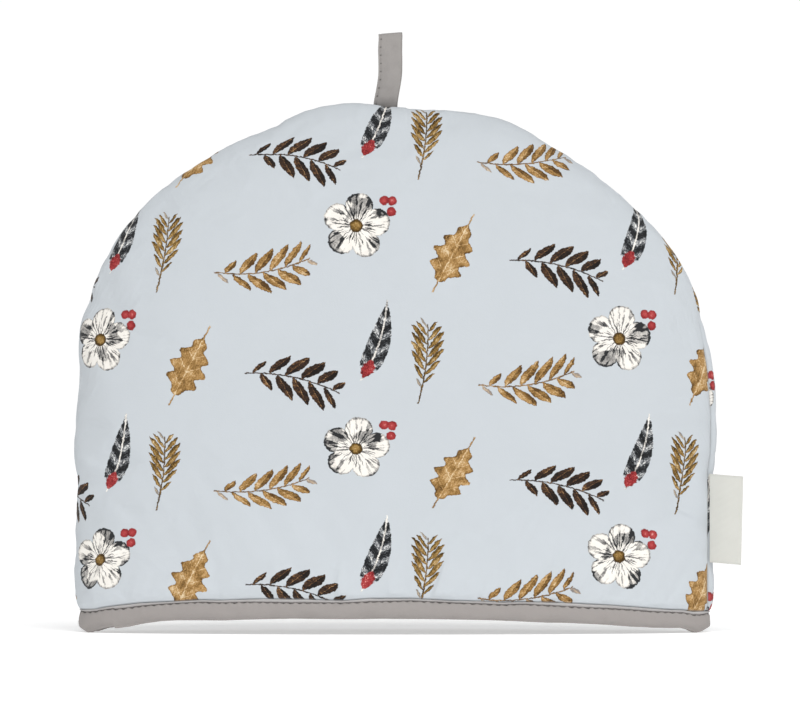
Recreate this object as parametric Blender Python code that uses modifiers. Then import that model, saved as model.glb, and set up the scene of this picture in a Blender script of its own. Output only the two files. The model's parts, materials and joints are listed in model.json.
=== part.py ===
"""A padded tea cosy, standing open on its hem.

Two dome-shaped padded panels meet in one seam that runs up the sides and over the top. A folded
binding closes the hem of both, a tape loop stands in the top seam and a blank label in the side seam.

Metres, +Z up. The front faces -Y. The cosy stands on z = 0, with the origin under its middle.
"""

import math
from collections import namedtuple

import bmesh
import bpy
from mathutils import Vector

MM = 0.001

# Size of the dome
HALF_WIDTH = 166 * MM  # from the middle to a side seam
SIDE_HEIGHT = 128 * MM  # the sides stand straight up to here
HEIGHT = 274.5 * MM  # from the floor to the top seam
ARCH_FULLNESS = 2.0  # 2 is an ellipse, more is squarer
DEPTH_AT_HEM = 46 * MM  # from the seam to the middle of a panel
DEPTH_AT_TOP = 36 * MM

# Cloth and padding
PADDING = 7 * MM  # a panel's full thickness
SEAM_THICKNESS = 2.4 * MM  # a panel pinched at the seam
HEM_THICKNESS = 3.6 * MM  # a panel pressed inside the binding
SEAM_GAP = 0.3 * MM  # between the two panels, edge to edge
AT_SEAM = 0.9999  # past this share of the way out, a point lies in the seam
CLEARANCE = 0.3 * MM  # between pieces that are sewn together
SEAM_VALLEY = 1.9 * MM  # how far the seam lies below the rolls beside it
HEM_VALLEY = 1.2 * MM  # the same inside the binding
HEM_TUCK = 3.0 * MM  # how far the binding draws the hem in
TUCK_START = 11.3 * MM
TUCK_END = 19 * MM
ROLL_WIDTH = 16 * MM  # the padding is full this far from the seam

# Binding
BINDING_HEIGHT = 10.5 * MM
BINDING_CLOTH = 1.1 * MM  # folded double
BINDING_ROUND = 0.7 * MM  # its folds are rounded by this
STITCH_DROP = 2.3 * MM  # from the lip down to the stitch line
STITCH_DENT = 0.5 * MM

# Hanging loop
LOOP_WIDTH = 12.4 * MM
LOOP_RISE = 37 * MM  # above the dome's height
LOOP_CLOTH = 1.1 * MM
LOOP_X = -5.0 * MM  # middle of its foot
LOOP_SEAT = 1.9 * MM  # its foot stands this far over the seam line
LOOP_LEAN = 2.6 * MM  # its top stands this far to the right of its foot
LOOP_FOOT_GAP = 0.75 * MM  # half the gap between its legs' middles at the seam
LOOP_EYE = 3.1 * MM  # how far each leg stands out further up
LOOP_FOLD = 6  # how sharply the tape turns over at the top
LOOP_DIP = 1.4 * MM  # the seam is drawn down where the loop is sewn in
LOOP_DIP_SPREAD = 17 * MM

# Side label
LABEL_HEIGHT = 46 * MM
LABEL_REACH = 17.2 * MM
LABEL_CLOTH = 1.0 * MM
LABEL_FOOT = 36.4 * MM  # its lower edge above the floor
LABEL_SEAT = Vector((1.2 * MM, -0.5 * MM, 0))  # from the seam line to its inner edge
LABEL_SLOPE = -0.08  # it droops a little outwards
LABEL_FORWARD = 4.0 * MM  # it leaves the seam forwards
LABEL_CURL = 2.6 * MM  # and curls back

# Mesh
COLUMNS = 40
ROWS = 24
LOOP_STEPS = 28
SMOOTH_BELOW = math.radians(50)
MERGE = 0.01 * MM
HEM_ROWS = [1.5 * MM, 6 * MM, 11.3 * MM, 14 * MM, 18 * MM, 24 * MM]

FRONT, BACK = -1, 1
LEFT, RIGHT = -1, 1

# Swells and dips of the arch's outline. Directions are degrees round the arch from the right.
ArchWave = namedtuple("ArchWave", "direction spread height")
ARCH_WAVES = [
    ArchWave(10, 5, -1.5 * MM),
    ArchWave(25, 8, 0.6 * MM),
    ArchWave(44, 15, -3.2 * MM),
    ArchWave(65, 7, 1.9 * MM),
    ArchWave(86, 7, -1.8 * MM),
    ArchWave(104, 10, 3.1 * MM),
    ArchWave(123, 7, -1.1 * MM),
    ArchWave(150, 15, 2.8 * MM),
    ArchWave(170, 8, 1.1 * MM),
]

# Swells and dips of the straight sides, at a height above the binding.
SideWave = namedtuple("SideWave", "side height spread out")
SIDE_WAVES = [
    SideWave(LEFT, 120 * MM, 11 * MM, -1.4 * MM),
    SideWave(LEFT, 83 * MM, 12 * MM, 1.0 * MM),
    SideWave(LEFT, 69 * MM, 5 * MM, -0.9 * MM),
    SideWave(LEFT, 15 * MM, 12 * MM, 0.8 * MM),
    SideWave(RIGHT, 94 * MM, 24 * MM, 1.7 * MM),
    SideWave(RIGHT, 71 * MM, 6 * MM, -0.8 * MM),
]

# How far the seam is turned towards the front, in degrees round the edge roll.
SeamTurn = namedtuple("SeamTurn", "direction turn")
SEAM_TURNS = [
    SeamTurn(0, 8.0),
    SeamTurn(24, 0.0),
    SeamTurn(45, -2.5),
    SeamTurn(90, -1.5),
    SeamTurn(135, -3.0),
    SeamTurn(180, -5.0),
]

# The hem is drawn up in its middle. It comes down to the floor at a span from the middle, and
# a higher power holds it up for longer before it comes down.
HemRise = namedtuple("HemRise", "face side rise span power")
HEM_RISES = [
    HemRise(FRONT, LEFT, 8.6 * MM, 156 * MM, 4.0),
    HemRise(FRONT, RIGHT, 8.6 * MM, 156 * MM, 2.6),
    HemRise(BACK, LEFT, 6.0 * MM, 150 * MM, 4.0),
    HemRise(BACK, RIGHT, 6.0 * MM, 150 * MM, 3.0),
]
RISE_FADES_AT = 120 * MM

# Soft folds: the middle of the fold on the cut panel, its slope, half its length, half its width.
Fold = namedtuple("Fold", "face x z slope_deg half_length half_width sink")
FOLDS = [
    Fold(FRONT, -56 * MM, 38 * MM, 120, 20 * MM, 8 * MM, 1.3 * MM),
    Fold(FRONT, -26 * MM, 30 * MM, 115, 18 * MM, 8 * MM, 1.1 * MM),
    Fold(FRONT, 30 * MM, 33 * MM, 55, 20 * MM, 8 * MM, 1.3 * MM),
    Fold(FRONT, 90 * MM, 30 * MM, 55, 20 * MM, 9 * MM, 1.3 * MM),
    Fold(FRONT, -134 * MM, 78 * MM, 12, 26 * MM, 9 * MM, 1.4 * MM),
    Fold(FRONT, -128 * MM, 36 * MM, 35, 24 * MM, 9 * MM, 1.2 * MM),
    Fold(BACK, -70 * MM, 36 * MM, 112, 22 * MM, 9 * MM, 1.3 * MM),
    Fold(BACK, 12 * MM, 34 * MM, 75, 20 * MM, 9 * MM, 1.2 * MM),
    Fold(BACK, 84 * MM, 40 * MM, 60, 24 * MM, 9 * MM, 1.3 * MM),
    Fold(BACK, 128 * MM, 86 * MM, 165, 26 * MM, 9 * MM, 1.2 * MM),
]

# sRGB colours, 0 to 1
PANEL_COLOUR = (0.824, 0.847, 0.871)
BINDING_COLOUR = (0.675, 0.655, 0.645)
LOOP_COLOUR = (0.650, 0.635, 0.620)
LABEL_COLOUR = (0.880, 0.880, 0.862)


def swell(value, middle, spread, height):
    return height * math.exp(-(((value - middle) / spread) ** 2))


def ramp(value, start, end):
    """0 up to start, 1 from end on, smooth between."""
    share = min(max((value - start) / (end - start), 0.0), 1.0)
    return share * share * (3 - 2 * share)


def between(rows, value):
    """The second column of a table at a value of its first, with smooth steps between its rows."""
    for low, high in zip(rows, rows[1:]):
        if value <= high[0]:
            return low[1] + (high[1] - low[1]) * ramp(value, low[0], high[0])
    return rows[-1][1]


# ---- The shape of the cosy ----


def arch_height(flat_x):
    """The top of the cut panel, at a distance from its middle."""
    across = min(abs(flat_x) / HALF_WIDTH, 1.0)
    return SIDE_HEIGHT + (HEIGHT - SIDE_HEIGHT) * (1 - across**ARCH_FULLNESS) ** (1 / ARCH_FULLNESS)


def base_radius(direction):
    across = abs(math.cos(direction)) / HALF_WIDTH
    up = abs(math.sin(direction)) / (HEIGHT - SIDE_HEIGHT)
    return (across**ARCH_FULLNESS + up**ARCH_FULLNESS) ** (-1 / ARCH_FULLNESS)


def outline_radius(direction, height):
    """From the panel's upright spine to its finished outline."""
    radius = base_radius(direction)
    degrees = math.degrees(direction)
    for wave in ARCH_WAVES:
        radius += swell(degrees, wave.direction, wave.spread, wave.height)
    for wave in SIDE_WAVES:
        if wave.side * math.cos(direction) > 0:
            radius += swell(above_binding(height), wave.height, wave.spread, wave.out)
    return radius


def above_binding(height):
    """The hem stands upright inside the binding, and a panel starts to lean and swell above it."""
    return max(height - TUCK_START, 0.0)


def panel_depth(height):
    return DEPTH_AT_HEM + (DEPTH_AT_TOP - DEPTH_AT_HEM) * above_binding(height) / (HEIGHT - TUCK_START)


def hem_rise(face, x):
    """How far the binding's lower edge is off the floor."""
    side = LEFT if x < 0 else RIGHT
    hem = next(row for row in HEM_RISES if row.face == face and row.side == side)
    return hem.rise * max(1 - (abs(x) / hem.span) ** hem.power, 0.0)


def fold_sink(face, x, z):
    sink = 0.0
    for fold in FOLDS:
        if fold.face == face:
            slope = math.radians(fold.slope_deg)
            along = (x - fold.x) * math.cos(slope) + (z - fold.z) * math.sin(slope)
            aside = (z - fold.z) * math.cos(slope) - (x - fold.x) * math.sin(slope)
            reach = math.hypot(along / fold.half_length, aside / fold.half_width)
            sink += fold.sink * math.exp(-reach * reach)
    return sink


def roll_limit(face, direction, depth):
    """The angle round the edge roll at which a panel ends, in the seam."""
    turn = math.radians(between(SEAM_TURNS, math.degrees(direction)))
    return math.pi / 2 + face * turn - SEAM_GAP / 2 / depth


def on_section(face, direction, foot, roll, radius, depth, inset):
    """A point of the elliptical section that crosses the panel from its spine to its edge.

    roll is 0 in the middle of the panel and a right angle at the cosy's outline.
    """
    out = radius * math.sin(roll)
    fore = depth * math.cos(roll)
    normal = Vector((math.sin(roll) / radius, math.cos(roll) / depth)).normalized()
    out -= inset * normal.x
    fore -= inset * normal.y
    return Vector((out * math.cos(direction), face * fore, foot + out * math.sin(direction)))


def seam_valley(direction, height):
    """How deep the seam lies where a panel ends."""
    valley = HEM_VALLEY + (SEAM_VALLEY - HEM_VALLEY) * ramp(height, TUCK_START, TUCK_END)
    if height > SIDE_HEIGHT:
        x = base_radius(direction) * math.cos(direction)
        valley += swell(x, LOOP_X, LOOP_DIP_SPREAD, LOOP_DIP)
    return valley


def panel_point(face, flat_x, height):
    """A point of a panel's outer surface, and how thick the padding is there.

    flat_x and height are the point's place on the cut panel: across it, and up from the hem.
    """
    foot = min(height, SIDE_HEIGHT)
    direction = math.atan2(height - foot, flat_x) if height > foot else (0.0 if flat_x > 0 else math.pi)
    distance = math.hypot(flat_x, height - foot)
    share = min(distance / base_radius(direction), 1.0)
    depth = panel_depth(height)
    limit = roll_limit(face, direction, depth)
    roll = math.asin(share) / (math.pi / 2) * limit
    radius = outline_radius(direction, height)

    inset = HEM_TUCK * (1 - ramp(height, TUCK_START, TUCK_END))
    inset += fold_sink(face, flat_x, height) * ramp(height, TUCK_START, TUCK_END)
    if share > AT_SEAM:
        inset += seam_valley(direction, height)
    point = on_section(face, direction, foot, roll, radius, depth, inset)
    edge_x = radius * math.sin(roll) * math.cos(direction)
    point.z += hem_rise(face, edge_x) * (1 - ramp(height, TUCK_END, RISE_FADES_AT))

    from_seam = (limit - roll) * depth
    thickness = SEAM_THICKNESS + (PADDING - SEAM_THICKNESS) * ramp(from_seam, 0, ROLL_WIDTH)
    pressed = HEM_THICKNESS + (PADDING - HEM_THICKNESS) * ramp(height, TUCK_START, TUCK_END)
    return point, min(thickness, pressed)


def hem_section(face, column):
    """The hem under one column: its place on the panels' outer side, the way out, and its rise."""
    flat_x = HALF_WIDTH * math.sin(column)
    direction = 0.0 if flat_x > 0 else math.pi
    depth = panel_depth(0)
    limit = roll_limit(face, direction, depth)
    if abs(column) > math.pi / 2 - 0.001:
        limit += SEAM_GAP / 2 / depth
    roll = abs(column) / (math.pi / 2) * limit
    radius = outline_radius(direction, 0)
    outer = on_section(face, direction, 0, roll, radius, depth, HEM_TUCK)
    out = on_section(face, direction, 0, roll, radius, depth, HEM_TUCK - MM) - outer
    edge_x = radius * math.sin(roll) * math.cos(direction)
    return outer, out.normalized(), hem_rise(face, edge_x)


# ---- Building the pieces ----


def clear_scene():
    for item in list(bpy.data.objects):
        bpy.data.objects.remove(item)


def make_material(name, colour, roughness):
    material = bpy.data.materials.new(name)
    material.use_nodes = True
    shader = material.node_tree.nodes["Principled BSDF"]
    linear = [(c / 12.92 if c < 0.04045 else ((c + 0.055) / 1.055) ** 2.4) for c in colour]
    shader.inputs["Base Color"].default_value = (*linear, 1)
    shader.inputs["Roughness"].default_value = roughness
    shader.inputs["Metallic"].default_value = 0
    material.diffuse_color = (*linear, 1)
    return material


def make_grid(name, across, up, place, material, collection, root):
    """A piece made from a grid.

    place takes each corner from (0 to 1, 0 to 1) to its point and its share of the full thickness.
    """
    grid = bmesh.new()
    bmesh.ops.create_grid(grid, x_segments=across, y_segments=up, size=0.5)
    shares = grid.verts.layers.deform.verify()
    for corner in grid.verts:
        corner.co, corner[shares][0] = place(corner.co.x + 0.5, corner.co.y + 0.5)
    bmesh.ops.remove_doubles(grid, verts=grid.verts, dist=MERGE)
    bmesh.ops.recalc_face_normals(grid, faces=grid.faces)
    mesh = bpy.data.meshes.new(name)
    grid.to_mesh(mesh)
    grid.free()
    mesh.materials.append(material)
    mesh.shade_smooth()
    mesh.set_sharp_from_angle(angle=SMOOTH_BELOW)
    piece = bpy.data.objects.new(name, mesh)
    piece.vertex_groups.new(name="thickness_share")
    collection.objects.link(piece)
    piece.parent = root
    return piece


def add_thickness(piece, thickness, side):
    wall = piece.modifiers.new("cloth_thickness", "SOLIDIFY")
    wall.thickness = thickness
    wall.offset = side
    wall.vertex_group = "thickness_share"


def row_height(row, top):
    """Rows stand at fixed heights in the hem, and above it crowd together towards the seam."""
    if row < len(HEM_ROWS):
        return HEM_ROWS[row]
    last = HEM_ROWS[-1]
    share = (row - len(HEM_ROWS) + 1) / (ROWS - len(HEM_ROWS) + 1)
    return last + (top - last) * math.sin(math.pi / 2 * share)


def make_panel(name, face, material, collection, root):
    def place(across, up):
        column = (across - 0.5) * math.pi
        flat_x = -face * HALF_WIDTH * math.sin(column)
        height = row_height(round(up * ROWS), arch_height(flat_x))
        point, thickness = panel_point(face, flat_x, height)
        return point, thickness / PADDING

    panel = make_grid(name, COLUMNS, ROWS, place, material, collection, root)
    add_thickness(panel, PADDING, -1)
    return panel


def binding_profile():
    """The binding's section, as (out from the panel's outer side, up), round its U shape."""
    outer = CLEARANCE + BINDING_CLOTH
    pocket_out = CLEARANCE
    pocket_in = -(HEM_THICKNESS + CLEARANCE)
    inner = -(HEM_THICKNESS + CLEARANCE + BINDING_CLOTH)
    bevel = BINDING_ROUND
    stitch = BINDING_HEIGHT - STITCH_DROP
    return [
        (outer - bevel, 0),
        (outer, bevel),
        (outer, stitch - bevel),
        (outer - STITCH_DENT, stitch),
        (outer, stitch + bevel),
        (outer, BINDING_HEIGHT - bevel / 2),
        (outer - bevel / 2, BINDING_HEIGHT),
        (pocket_out, BINDING_HEIGHT),
        (pocket_out, HEM_ROWS[0] - CLEARANCE),
        (pocket_in, HEM_ROWS[0] - CLEARANCE),
        (pocket_in, BINDING_HEIGHT),
        (inner + bevel / 2, BINDING_HEIGHT),
        (inner, BINDING_HEIGHT - bevel / 2),
        (inner, bevel),
        (inner + bevel, 0),
    ]


def make_binding(material, collection, root):
    profile = binding_profile()
    around_hem = 2 * COLUMNS

    def place(around, along):
        """around runs once round the hem, along runs once round the section."""
        step = round(around * around_hem) % around_hem
        face = FRONT if step <= COLUMNS else BACK
        column = (step / COLUMNS - 0.5) * math.pi if face == FRONT else (1.5 - step / COLUMNS) * math.pi
        outer, out, rise = hem_section(face, column)
        outwards, up = profile[round(along * len(profile)) % len(profile)]
        return outer + out * outwards + Vector((0, 0, rise + up)), 1

    return make_grid("hem_binding", around_hem, len(profile), place, material, collection, root)


def seam_line(flat_x, height):
    """The bottom of the seam's valley, between the two panels."""
    points = [panel_point(face, flat_x, height)[0] for face in (FRONT, BACK)]
    return (points[0] + points[1]) / 2


def make_loop(material, collection, root):
    foot = seam_line(LOOP_X, arch_height(LOOP_X)) + Vector((0, 0, LOOP_SEAT))
    rise = HEIGHT + LOOP_RISE - LOOP_CLOTH / 2 - foot.z

    def place(along, across):
        """along runs up the front leg, over the fold and down the back leg."""
        angle = along * math.pi
        share = math.sin(angle)
        stand_out = LOOP_FOOT_GAP + LOOP_EYE * max(math.sin(math.pi * share), 0.0)
        turned = min(max(math.cos(angle) * LOOP_FOLD, -1), 1)
        x = LOOP_X + LOOP_LEAN * ramp(share, 0, 0.5) + (across - 0.5) * LOOP_WIDTH
        return Vector((x, foot.y - stand_out * turned, foot.z + rise * share)), 1

    loop = make_grid("hanging_loop", LOOP_STEPS, 3, place, material, collection, root)
    add_thickness(loop, LOOP_CLOTH, 0)
    return loop


def make_label(material, collection, root):
    start = seam_line(HALF_WIDTH, LABEL_FOOT + LABEL_HEIGHT / 2) + LABEL_SEAT

    def place(out, up):
        x = start.x + out * LABEL_REACH
        y = start.y - LABEL_FORWARD * out + LABEL_CURL * out * out
        z = LABEL_FOOT + up * LABEL_HEIGHT + LABEL_SLOPE * out * LABEL_REACH
        return Vector((x, y, z)), 1

    label = make_grid("side_label", 8, 4, place, material, collection, root)
    add_thickness(label, LABEL_CLOTH, 0)
    return label


def centre_on_origin(root, pieces):
    """Shifts all pieces together, so that the origin is under the middle of their common box."""
    bpy.context.view_layer.update()
    graph = bpy.context.evaluated_depsgraph_get()
    corners = []
    for piece in pieces:
        shown = piece.evaluated_get(graph)
        corners += [shown.matrix_world @ Vector(corner) for corner in shown.bound_box]
    root.location.x = -(min(c.x for c in corners) + max(c.x for c in corners)) / 2
    root.location.y = -(min(c.y for c in corners) + max(c.y for c in corners)) / 2


def main():
    clear_scene()
    collection = bpy.data.collections.new("tea_cosy")
    bpy.context.scene.collection.children.link(collection)
    root = bpy.data.objects.new("tea_cosy_root", None)
    collection.objects.link(root)

    panel_cloth = make_material("printed_cotton", PANEL_COLOUR, 0.85)
    binding_cloth = make_material("binding_cotton", BINDING_COLOUR, 0.88)
    loop_cloth = make_material("loop_tape", LOOP_COLOUR, 0.88)
    label_cloth = make_material("label_ribbon", LABEL_COLOUR, 0.8)

    pieces = [
        make_panel("front_panel", FRONT, panel_cloth, collection, root),
        make_panel("back_panel", BACK, panel_cloth, collection, root),
        make_binding(binding_cloth, collection, root),
        make_loop(loop_cloth, collection, root),
        make_label(label_cloth, collection, root),
    ]
    centre_on_origin(root, pieces)


main()
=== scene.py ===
import json
import math
from collections import namedtuple
from itertools import accumulate

import bmesh
import bpy
from mathutils import Matrix, Vector, noise

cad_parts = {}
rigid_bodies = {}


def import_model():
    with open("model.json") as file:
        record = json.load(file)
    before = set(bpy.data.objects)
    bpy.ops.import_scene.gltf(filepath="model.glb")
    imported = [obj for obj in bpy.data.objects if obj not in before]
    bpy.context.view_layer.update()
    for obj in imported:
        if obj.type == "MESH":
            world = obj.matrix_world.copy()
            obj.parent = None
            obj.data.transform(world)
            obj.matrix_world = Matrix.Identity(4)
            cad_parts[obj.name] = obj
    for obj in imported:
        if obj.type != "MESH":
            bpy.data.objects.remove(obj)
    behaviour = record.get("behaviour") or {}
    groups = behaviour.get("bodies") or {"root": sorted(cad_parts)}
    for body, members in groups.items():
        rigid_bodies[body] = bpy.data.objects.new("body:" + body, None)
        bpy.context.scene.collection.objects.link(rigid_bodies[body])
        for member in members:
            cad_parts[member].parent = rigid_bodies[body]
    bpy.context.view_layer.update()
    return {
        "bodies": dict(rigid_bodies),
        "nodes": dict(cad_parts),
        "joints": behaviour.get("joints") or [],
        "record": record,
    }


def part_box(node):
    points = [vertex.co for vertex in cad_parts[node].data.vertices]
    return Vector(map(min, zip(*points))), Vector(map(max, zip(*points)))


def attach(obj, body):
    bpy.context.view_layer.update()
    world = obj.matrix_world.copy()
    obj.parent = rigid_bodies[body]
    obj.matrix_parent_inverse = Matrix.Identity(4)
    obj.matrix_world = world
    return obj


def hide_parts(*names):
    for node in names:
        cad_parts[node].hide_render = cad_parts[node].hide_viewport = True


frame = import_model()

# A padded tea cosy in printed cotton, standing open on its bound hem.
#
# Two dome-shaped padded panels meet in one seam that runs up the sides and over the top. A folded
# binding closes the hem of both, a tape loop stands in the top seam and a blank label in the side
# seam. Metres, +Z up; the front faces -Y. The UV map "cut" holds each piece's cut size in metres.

MM = 0.001
FRONT, BACK = -1, 1
LEFT, RIGHT = -1, 1
UP = Vector((0, 0, 1))

# ---- The cosy's shape, the same as its solids ----

HALF_WIDTH = 166 * MM  # from the middle to a side seam
SIDE_HEIGHT = 128 * MM  # the sides stand straight up to here
HEIGHT = 274.5 * MM  # from the floor to the top seam
DEPTH_AT_HEM = 46 * MM  # from the seam to the middle of a panel
DEPTH_AT_TOP = 36 * MM
TRIM = 0.5 * MM  # the puckered cloth swells about this far past the smooth outline

PADDING = 7 * MM
SEAM_THICKNESS = 2.4 * MM
HEM_THICKNESS = 3.6 * MM
SEAM_GAP = 0.3 * MM
CLEARANCE = 0.3 * MM
SEAM_VALLEY = 1.9 * MM
HEM_VALLEY = 1.2 * MM
VALLEY_SPREAD = 2.0 * MM  # how quickly the cloth drops into the seam
HEM_TUCK = 3.0 * MM
TUCK_START = 11.3 * MM
TUCK_END = 19 * MM
ROLL_WIDTH = 16 * MM
HEM_EDGE = 1.5 * MM  # the panels end this far above the binding's lower edge

BINDING_HEIGHT = 10.5 * MM
BINDING_CLOTH = 1.1 * MM
STITCH_DROP = 2.3 * MM  # from the binding's upper edge to its stitches

LOOP_WIDTH = 12.4 * MM
LOOP_RISE = 37 * MM
LOOP_CLOTH = 1.1 * MM
LOOP_X = -5.0 * MM
LOOP_SEAT = 1.9 * MM
LOOP_LEAN = 2.6 * MM
LOOP_FOOT_GAP = 0.75 * MM
LOOP_EYE = 3.1 * MM
LOOP_FOLD = 6  # how sharply the tape turns at its top
LOOP_DIP = 1.4 * MM  # the seam dips under the loop
LOOP_DIP_SPREAD = 17 * MM

LABEL_HEIGHT = 46 * MM
LABEL_REACH = 17.2 * MM
LABEL_FOOT = 36.4 * MM
LABEL_SEAT = Vector((1.2 * MM, -0.5 * MM, 0))
LABEL_SLOPE = -0.08
LABEL_FORWARD = 4.0 * MM
LABEL_CURL = 2.6 * MM

# Uneven places of the arched edge, by direction in degrees from the right-hand side
ArchWave = namedtuple("ArchWave", "direction spread height")
ARCH_WAVES = [
    ArchWave(10, 5, -1.5 * MM),
    ArchWave(25, 8, 0.6 * MM),
    ArchWave(44, 15, -3.2 * MM),
    ArchWave(65, 7, 1.9 * MM),
    ArchWave(86, 7, -1.8 * MM),
    ArchWave(104, 10, 3.1 * MM),
    ArchWave(123, 7, -1.1 * MM),
    ArchWave(150, 15, 2.8 * MM),
    ArchWave(170, 8, 1.1 * MM),
    ArchWave(60, 7, -1.5 * MM),
    ArchWave(115.5, 2.5, -1.1 * MM),
    ArchWave(124, 4, 1.0 * MM),
    ArchWave(175, 3, -0.9 * MM),
]

SideWave = namedtuple("SideWave", "side height spread out")
SIDE_WAVES = [
    SideWave(LEFT, 120 * MM, 11 * MM, -1.4 * MM),
    SideWave(LEFT, 83 * MM, 12 * MM, 1.0 * MM),
    SideWave(LEFT, 69 * MM, 5 * MM, -0.9 * MM),
    SideWave(LEFT, 15 * MM, 12 * MM, 0.8 * MM),
    SideWave(RIGHT, 94 * MM, 24 * MM, 1.7 * MM),
    SideWave(RIGHT, 71 * MM, 6 * MM, -0.8 * MM),
]

# By direction in degrees, how far the seam is turned from the cosy's side towards its front
SEAM_TURNS = [(0, 8.0), (24, 0.0), (45, -2.5), (90, -1.5), (135, -3.0), (180, -5.0)]

HemRise = namedtuple("HemRise", "face side rise span power")
HEM_RISES = [
    HemRise(FRONT, LEFT, 8.6 * MM, 156 * MM, 4.0),
    HemRise(FRONT, RIGHT, 8.6 * MM, 156 * MM, 2.6),
    HemRise(BACK, LEFT, 6.0 * MM, 150 * MM, 4.0),
    HemRise(BACK, RIGHT, 6.0 * MM, 150 * MM, 3.0),
]
RISE_FADES_AT = 120 * MM

Fold = namedtuple("Fold", "face x z slope_deg half_length half_width sink")
FOLDS = [
    Fold(FRONT, -56 * MM, 38 * MM, 120, 20 * MM, 8 * MM, 1.3 * MM),
    Fold(FRONT, -26 * MM, 30 * MM, 115, 18 * MM, 8 * MM, 1.1 * MM),
    Fold(FRONT, 30 * MM, 33 * MM, 55, 20 * MM, 8 * MM, 1.3 * MM),
    Fold(FRONT, 90 * MM, 30 * MM, 55, 20 * MM, 9 * MM, 1.3 * MM),
    Fold(FRONT, -134 * MM, 78 * MM, 12, 26 * MM, 9 * MM, 1.4 * MM),
    Fold(FRONT, -128 * MM, 36 * MM, 35, 24 * MM, 9 * MM, 1.2 * MM),
    Fold(BACK, -70 * MM, 36 * MM, 112, 22 * MM, 9 * MM, 1.3 * MM),
    Fold(BACK, 12 * MM, 34 * MM, 75, 20 * MM, 9 * MM, 1.2 * MM),
    Fold(BACK, 84 * MM, 40 * MM, 60, 24 * MM, 9 * MM, 1.3 * MM),
    Fold(BACK, 128 * MM, 86 * MM, 165, 26 * MM, 9 * MM, 1.2 * MM),
]

# The binding's own unevenness, in mm: at x, how far its upper edge is lifted, how far its stitches
# lie below that edge, and how far its lower edge is lifted
HemSpot = namedtuple("HemSpot", "x lip stitch edge")
HEM_SPOTS = {
    FRONT: [
        HemSpot(-165, 1.4, 0.9, 3.2),
        HemSpot(-159.6, 1.5, 0.9, 0.0),
        HemSpot(-156.5, 1.7, 1.0, 1.2),
        HemSpot(-153.4, 2.0, 1.1, 2.1),
        HemSpot(-149, 1.85, 1.1, 1.9),
        HemSpot(-145.6, 1.7, 1.2, 1.85),
        HemSpot(-144.4, 1.65, 1.3, 0.4),
        HemSpot(-138, 1.45, 1.5, 0.35),
        HemSpot(-132, 1.2, 1.4, 0.8),
        HemSpot(-122, 0.6, 1.2, 1.15),
        HemSpot(-112, 0.15, 1.0, 0.8),
        HemSpot(-101, 0.2, 1.1, 0.1),
        HemSpot(-88, -0.6, 1.2, -0.6),
        HemSpot(-75, -0.35, 1.4, -0.45),
        HemSpot(-55, -0.6, 1.9, -0.3),
        HemSpot(-26, -1.4, 1.3, -0.6),
        HemSpot(-13, -0.4, 1.5, -0.45),
        HemSpot(8, -0.3, 1.1, -0.45),
        HemSpot(29, -1.3, 1.2, -0.6),
        HemSpot(55, -1.7, 1.5, -0.8),
        HemSpot(65, -1.2, 1.2, -1.0),
        HemSpot(81, -0.9, 1.6, -1.1),
        HemSpot(96, -0.8, 1.9, -0.6),
        HemSpot(122, -0.5, 1.5, -0.3),
        HemSpot(133, -0.3, 1.6, 0.2),
        HemSpot(143, 0.1, 1.4, 1.1),
        HemSpot(149, 0.7, 1.6, 1.9),
        HemSpot(153, 0.7, 1.7, 1.5),
        HemSpot(156.5, 0.7, 1.7, 0.0),
        HemSpot(158.6, 0.7, 1.7, 0.4),
        HemSpot(161, 0.6, 1.5, 1.6),
        HemSpot(164.3, 0.4, 1.3, 3.2),
    ],
    BACK: [
        HemSpot(-165, 1.4, 0.9, 3.2),
        HemSpot(-161, 1.2, 1.1, 1.2),
        HemSpot(-157, 0.8, 1.2, 0.0),
        HemSpot(-151, 0.9, 1.3, 1.7),
        HemSpot(-143, 0.8, 1.4, 2.5),
        HemSpot(-126, 0.3, 1.6, 2.0),
        HemSpot(-96, -0.3, 1.2, 0.6),
        HemSpot(-62, 0.4, 1.5, -0.2),
        HemSpot(-30, 0.1, 1.2, 0.3),
        HemSpot(6, -0.5, 1.7, -0.4),
        HemSpot(40, 0.3, 1.3, 0.2),
        HemSpot(78, -0.2, 1.6, -0.3),
        HemSpot(110, 0.2, 1.2, 0.6),
        HemSpot(132, 0.4, 1.5, 1.8),
        HemSpot(147, 0.5, 1.5, 2.3),
        HemSpot(152, 0.4, 1.4, 1.4),
        HemSpot(157, 0.4, 1.4, 0.0),
        HemSpot(160, 0.4, 1.4, 0.8),
        HemSpot(164.3, 0.4, 1.3, 3.2),
    ],
}
PANEL_SETTLES_AT = 60 * MM  # a panel follows the binding's edges up to here


def swell(value, middle, spread, height):
    return height * math.exp(-(((value - middle) / spread) ** 2))


def ramp(value, start, end):
    """0 up to start, 1 from end on, smooth between."""
    share = min(max((value - start) / (end - start), 0.0), 1.0)
    return share * share * (3 - 2 * share)


def straight(value, start, end):
    return (value - start) / (end - start)


def table_value(rows, value, step):
    """The second column of a table at a value of its first, with such steps between its rows."""
    for low, high in zip(rows, rows[1:]):
        if value <= high[0]:
            return low[1] + (high[1] - low[1]) * step(value, low[0], high[0])
    return rows[-1][1]


def running(steps):
    """How far along each place lies, from the steps between them."""
    return list(accumulate(steps, initial=0.0))


def evenly(arcs, count):
    """Even steps along places whose distances are known.

    Each is given as the place before it, the share of the way to the next, and its own distance.
    """
    at = 0
    for step in range(count + 1):
        arc = arcs[-1] * step / count
        while at < len(arcs) - 2 and arcs[at + 1] < arc:
            at += 1
        yield at, straight(arc, arcs[at], arcs[at + 1]), arc


def arch_height(flat_x):
    """The top of the cut panel, at a distance from its middle."""
    across = min(abs(flat_x) / HALF_WIDTH, 1.0)
    return SIDE_HEIGHT + (HEIGHT - SIDE_HEIGHT) * math.sqrt(1 - across * across)


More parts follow.
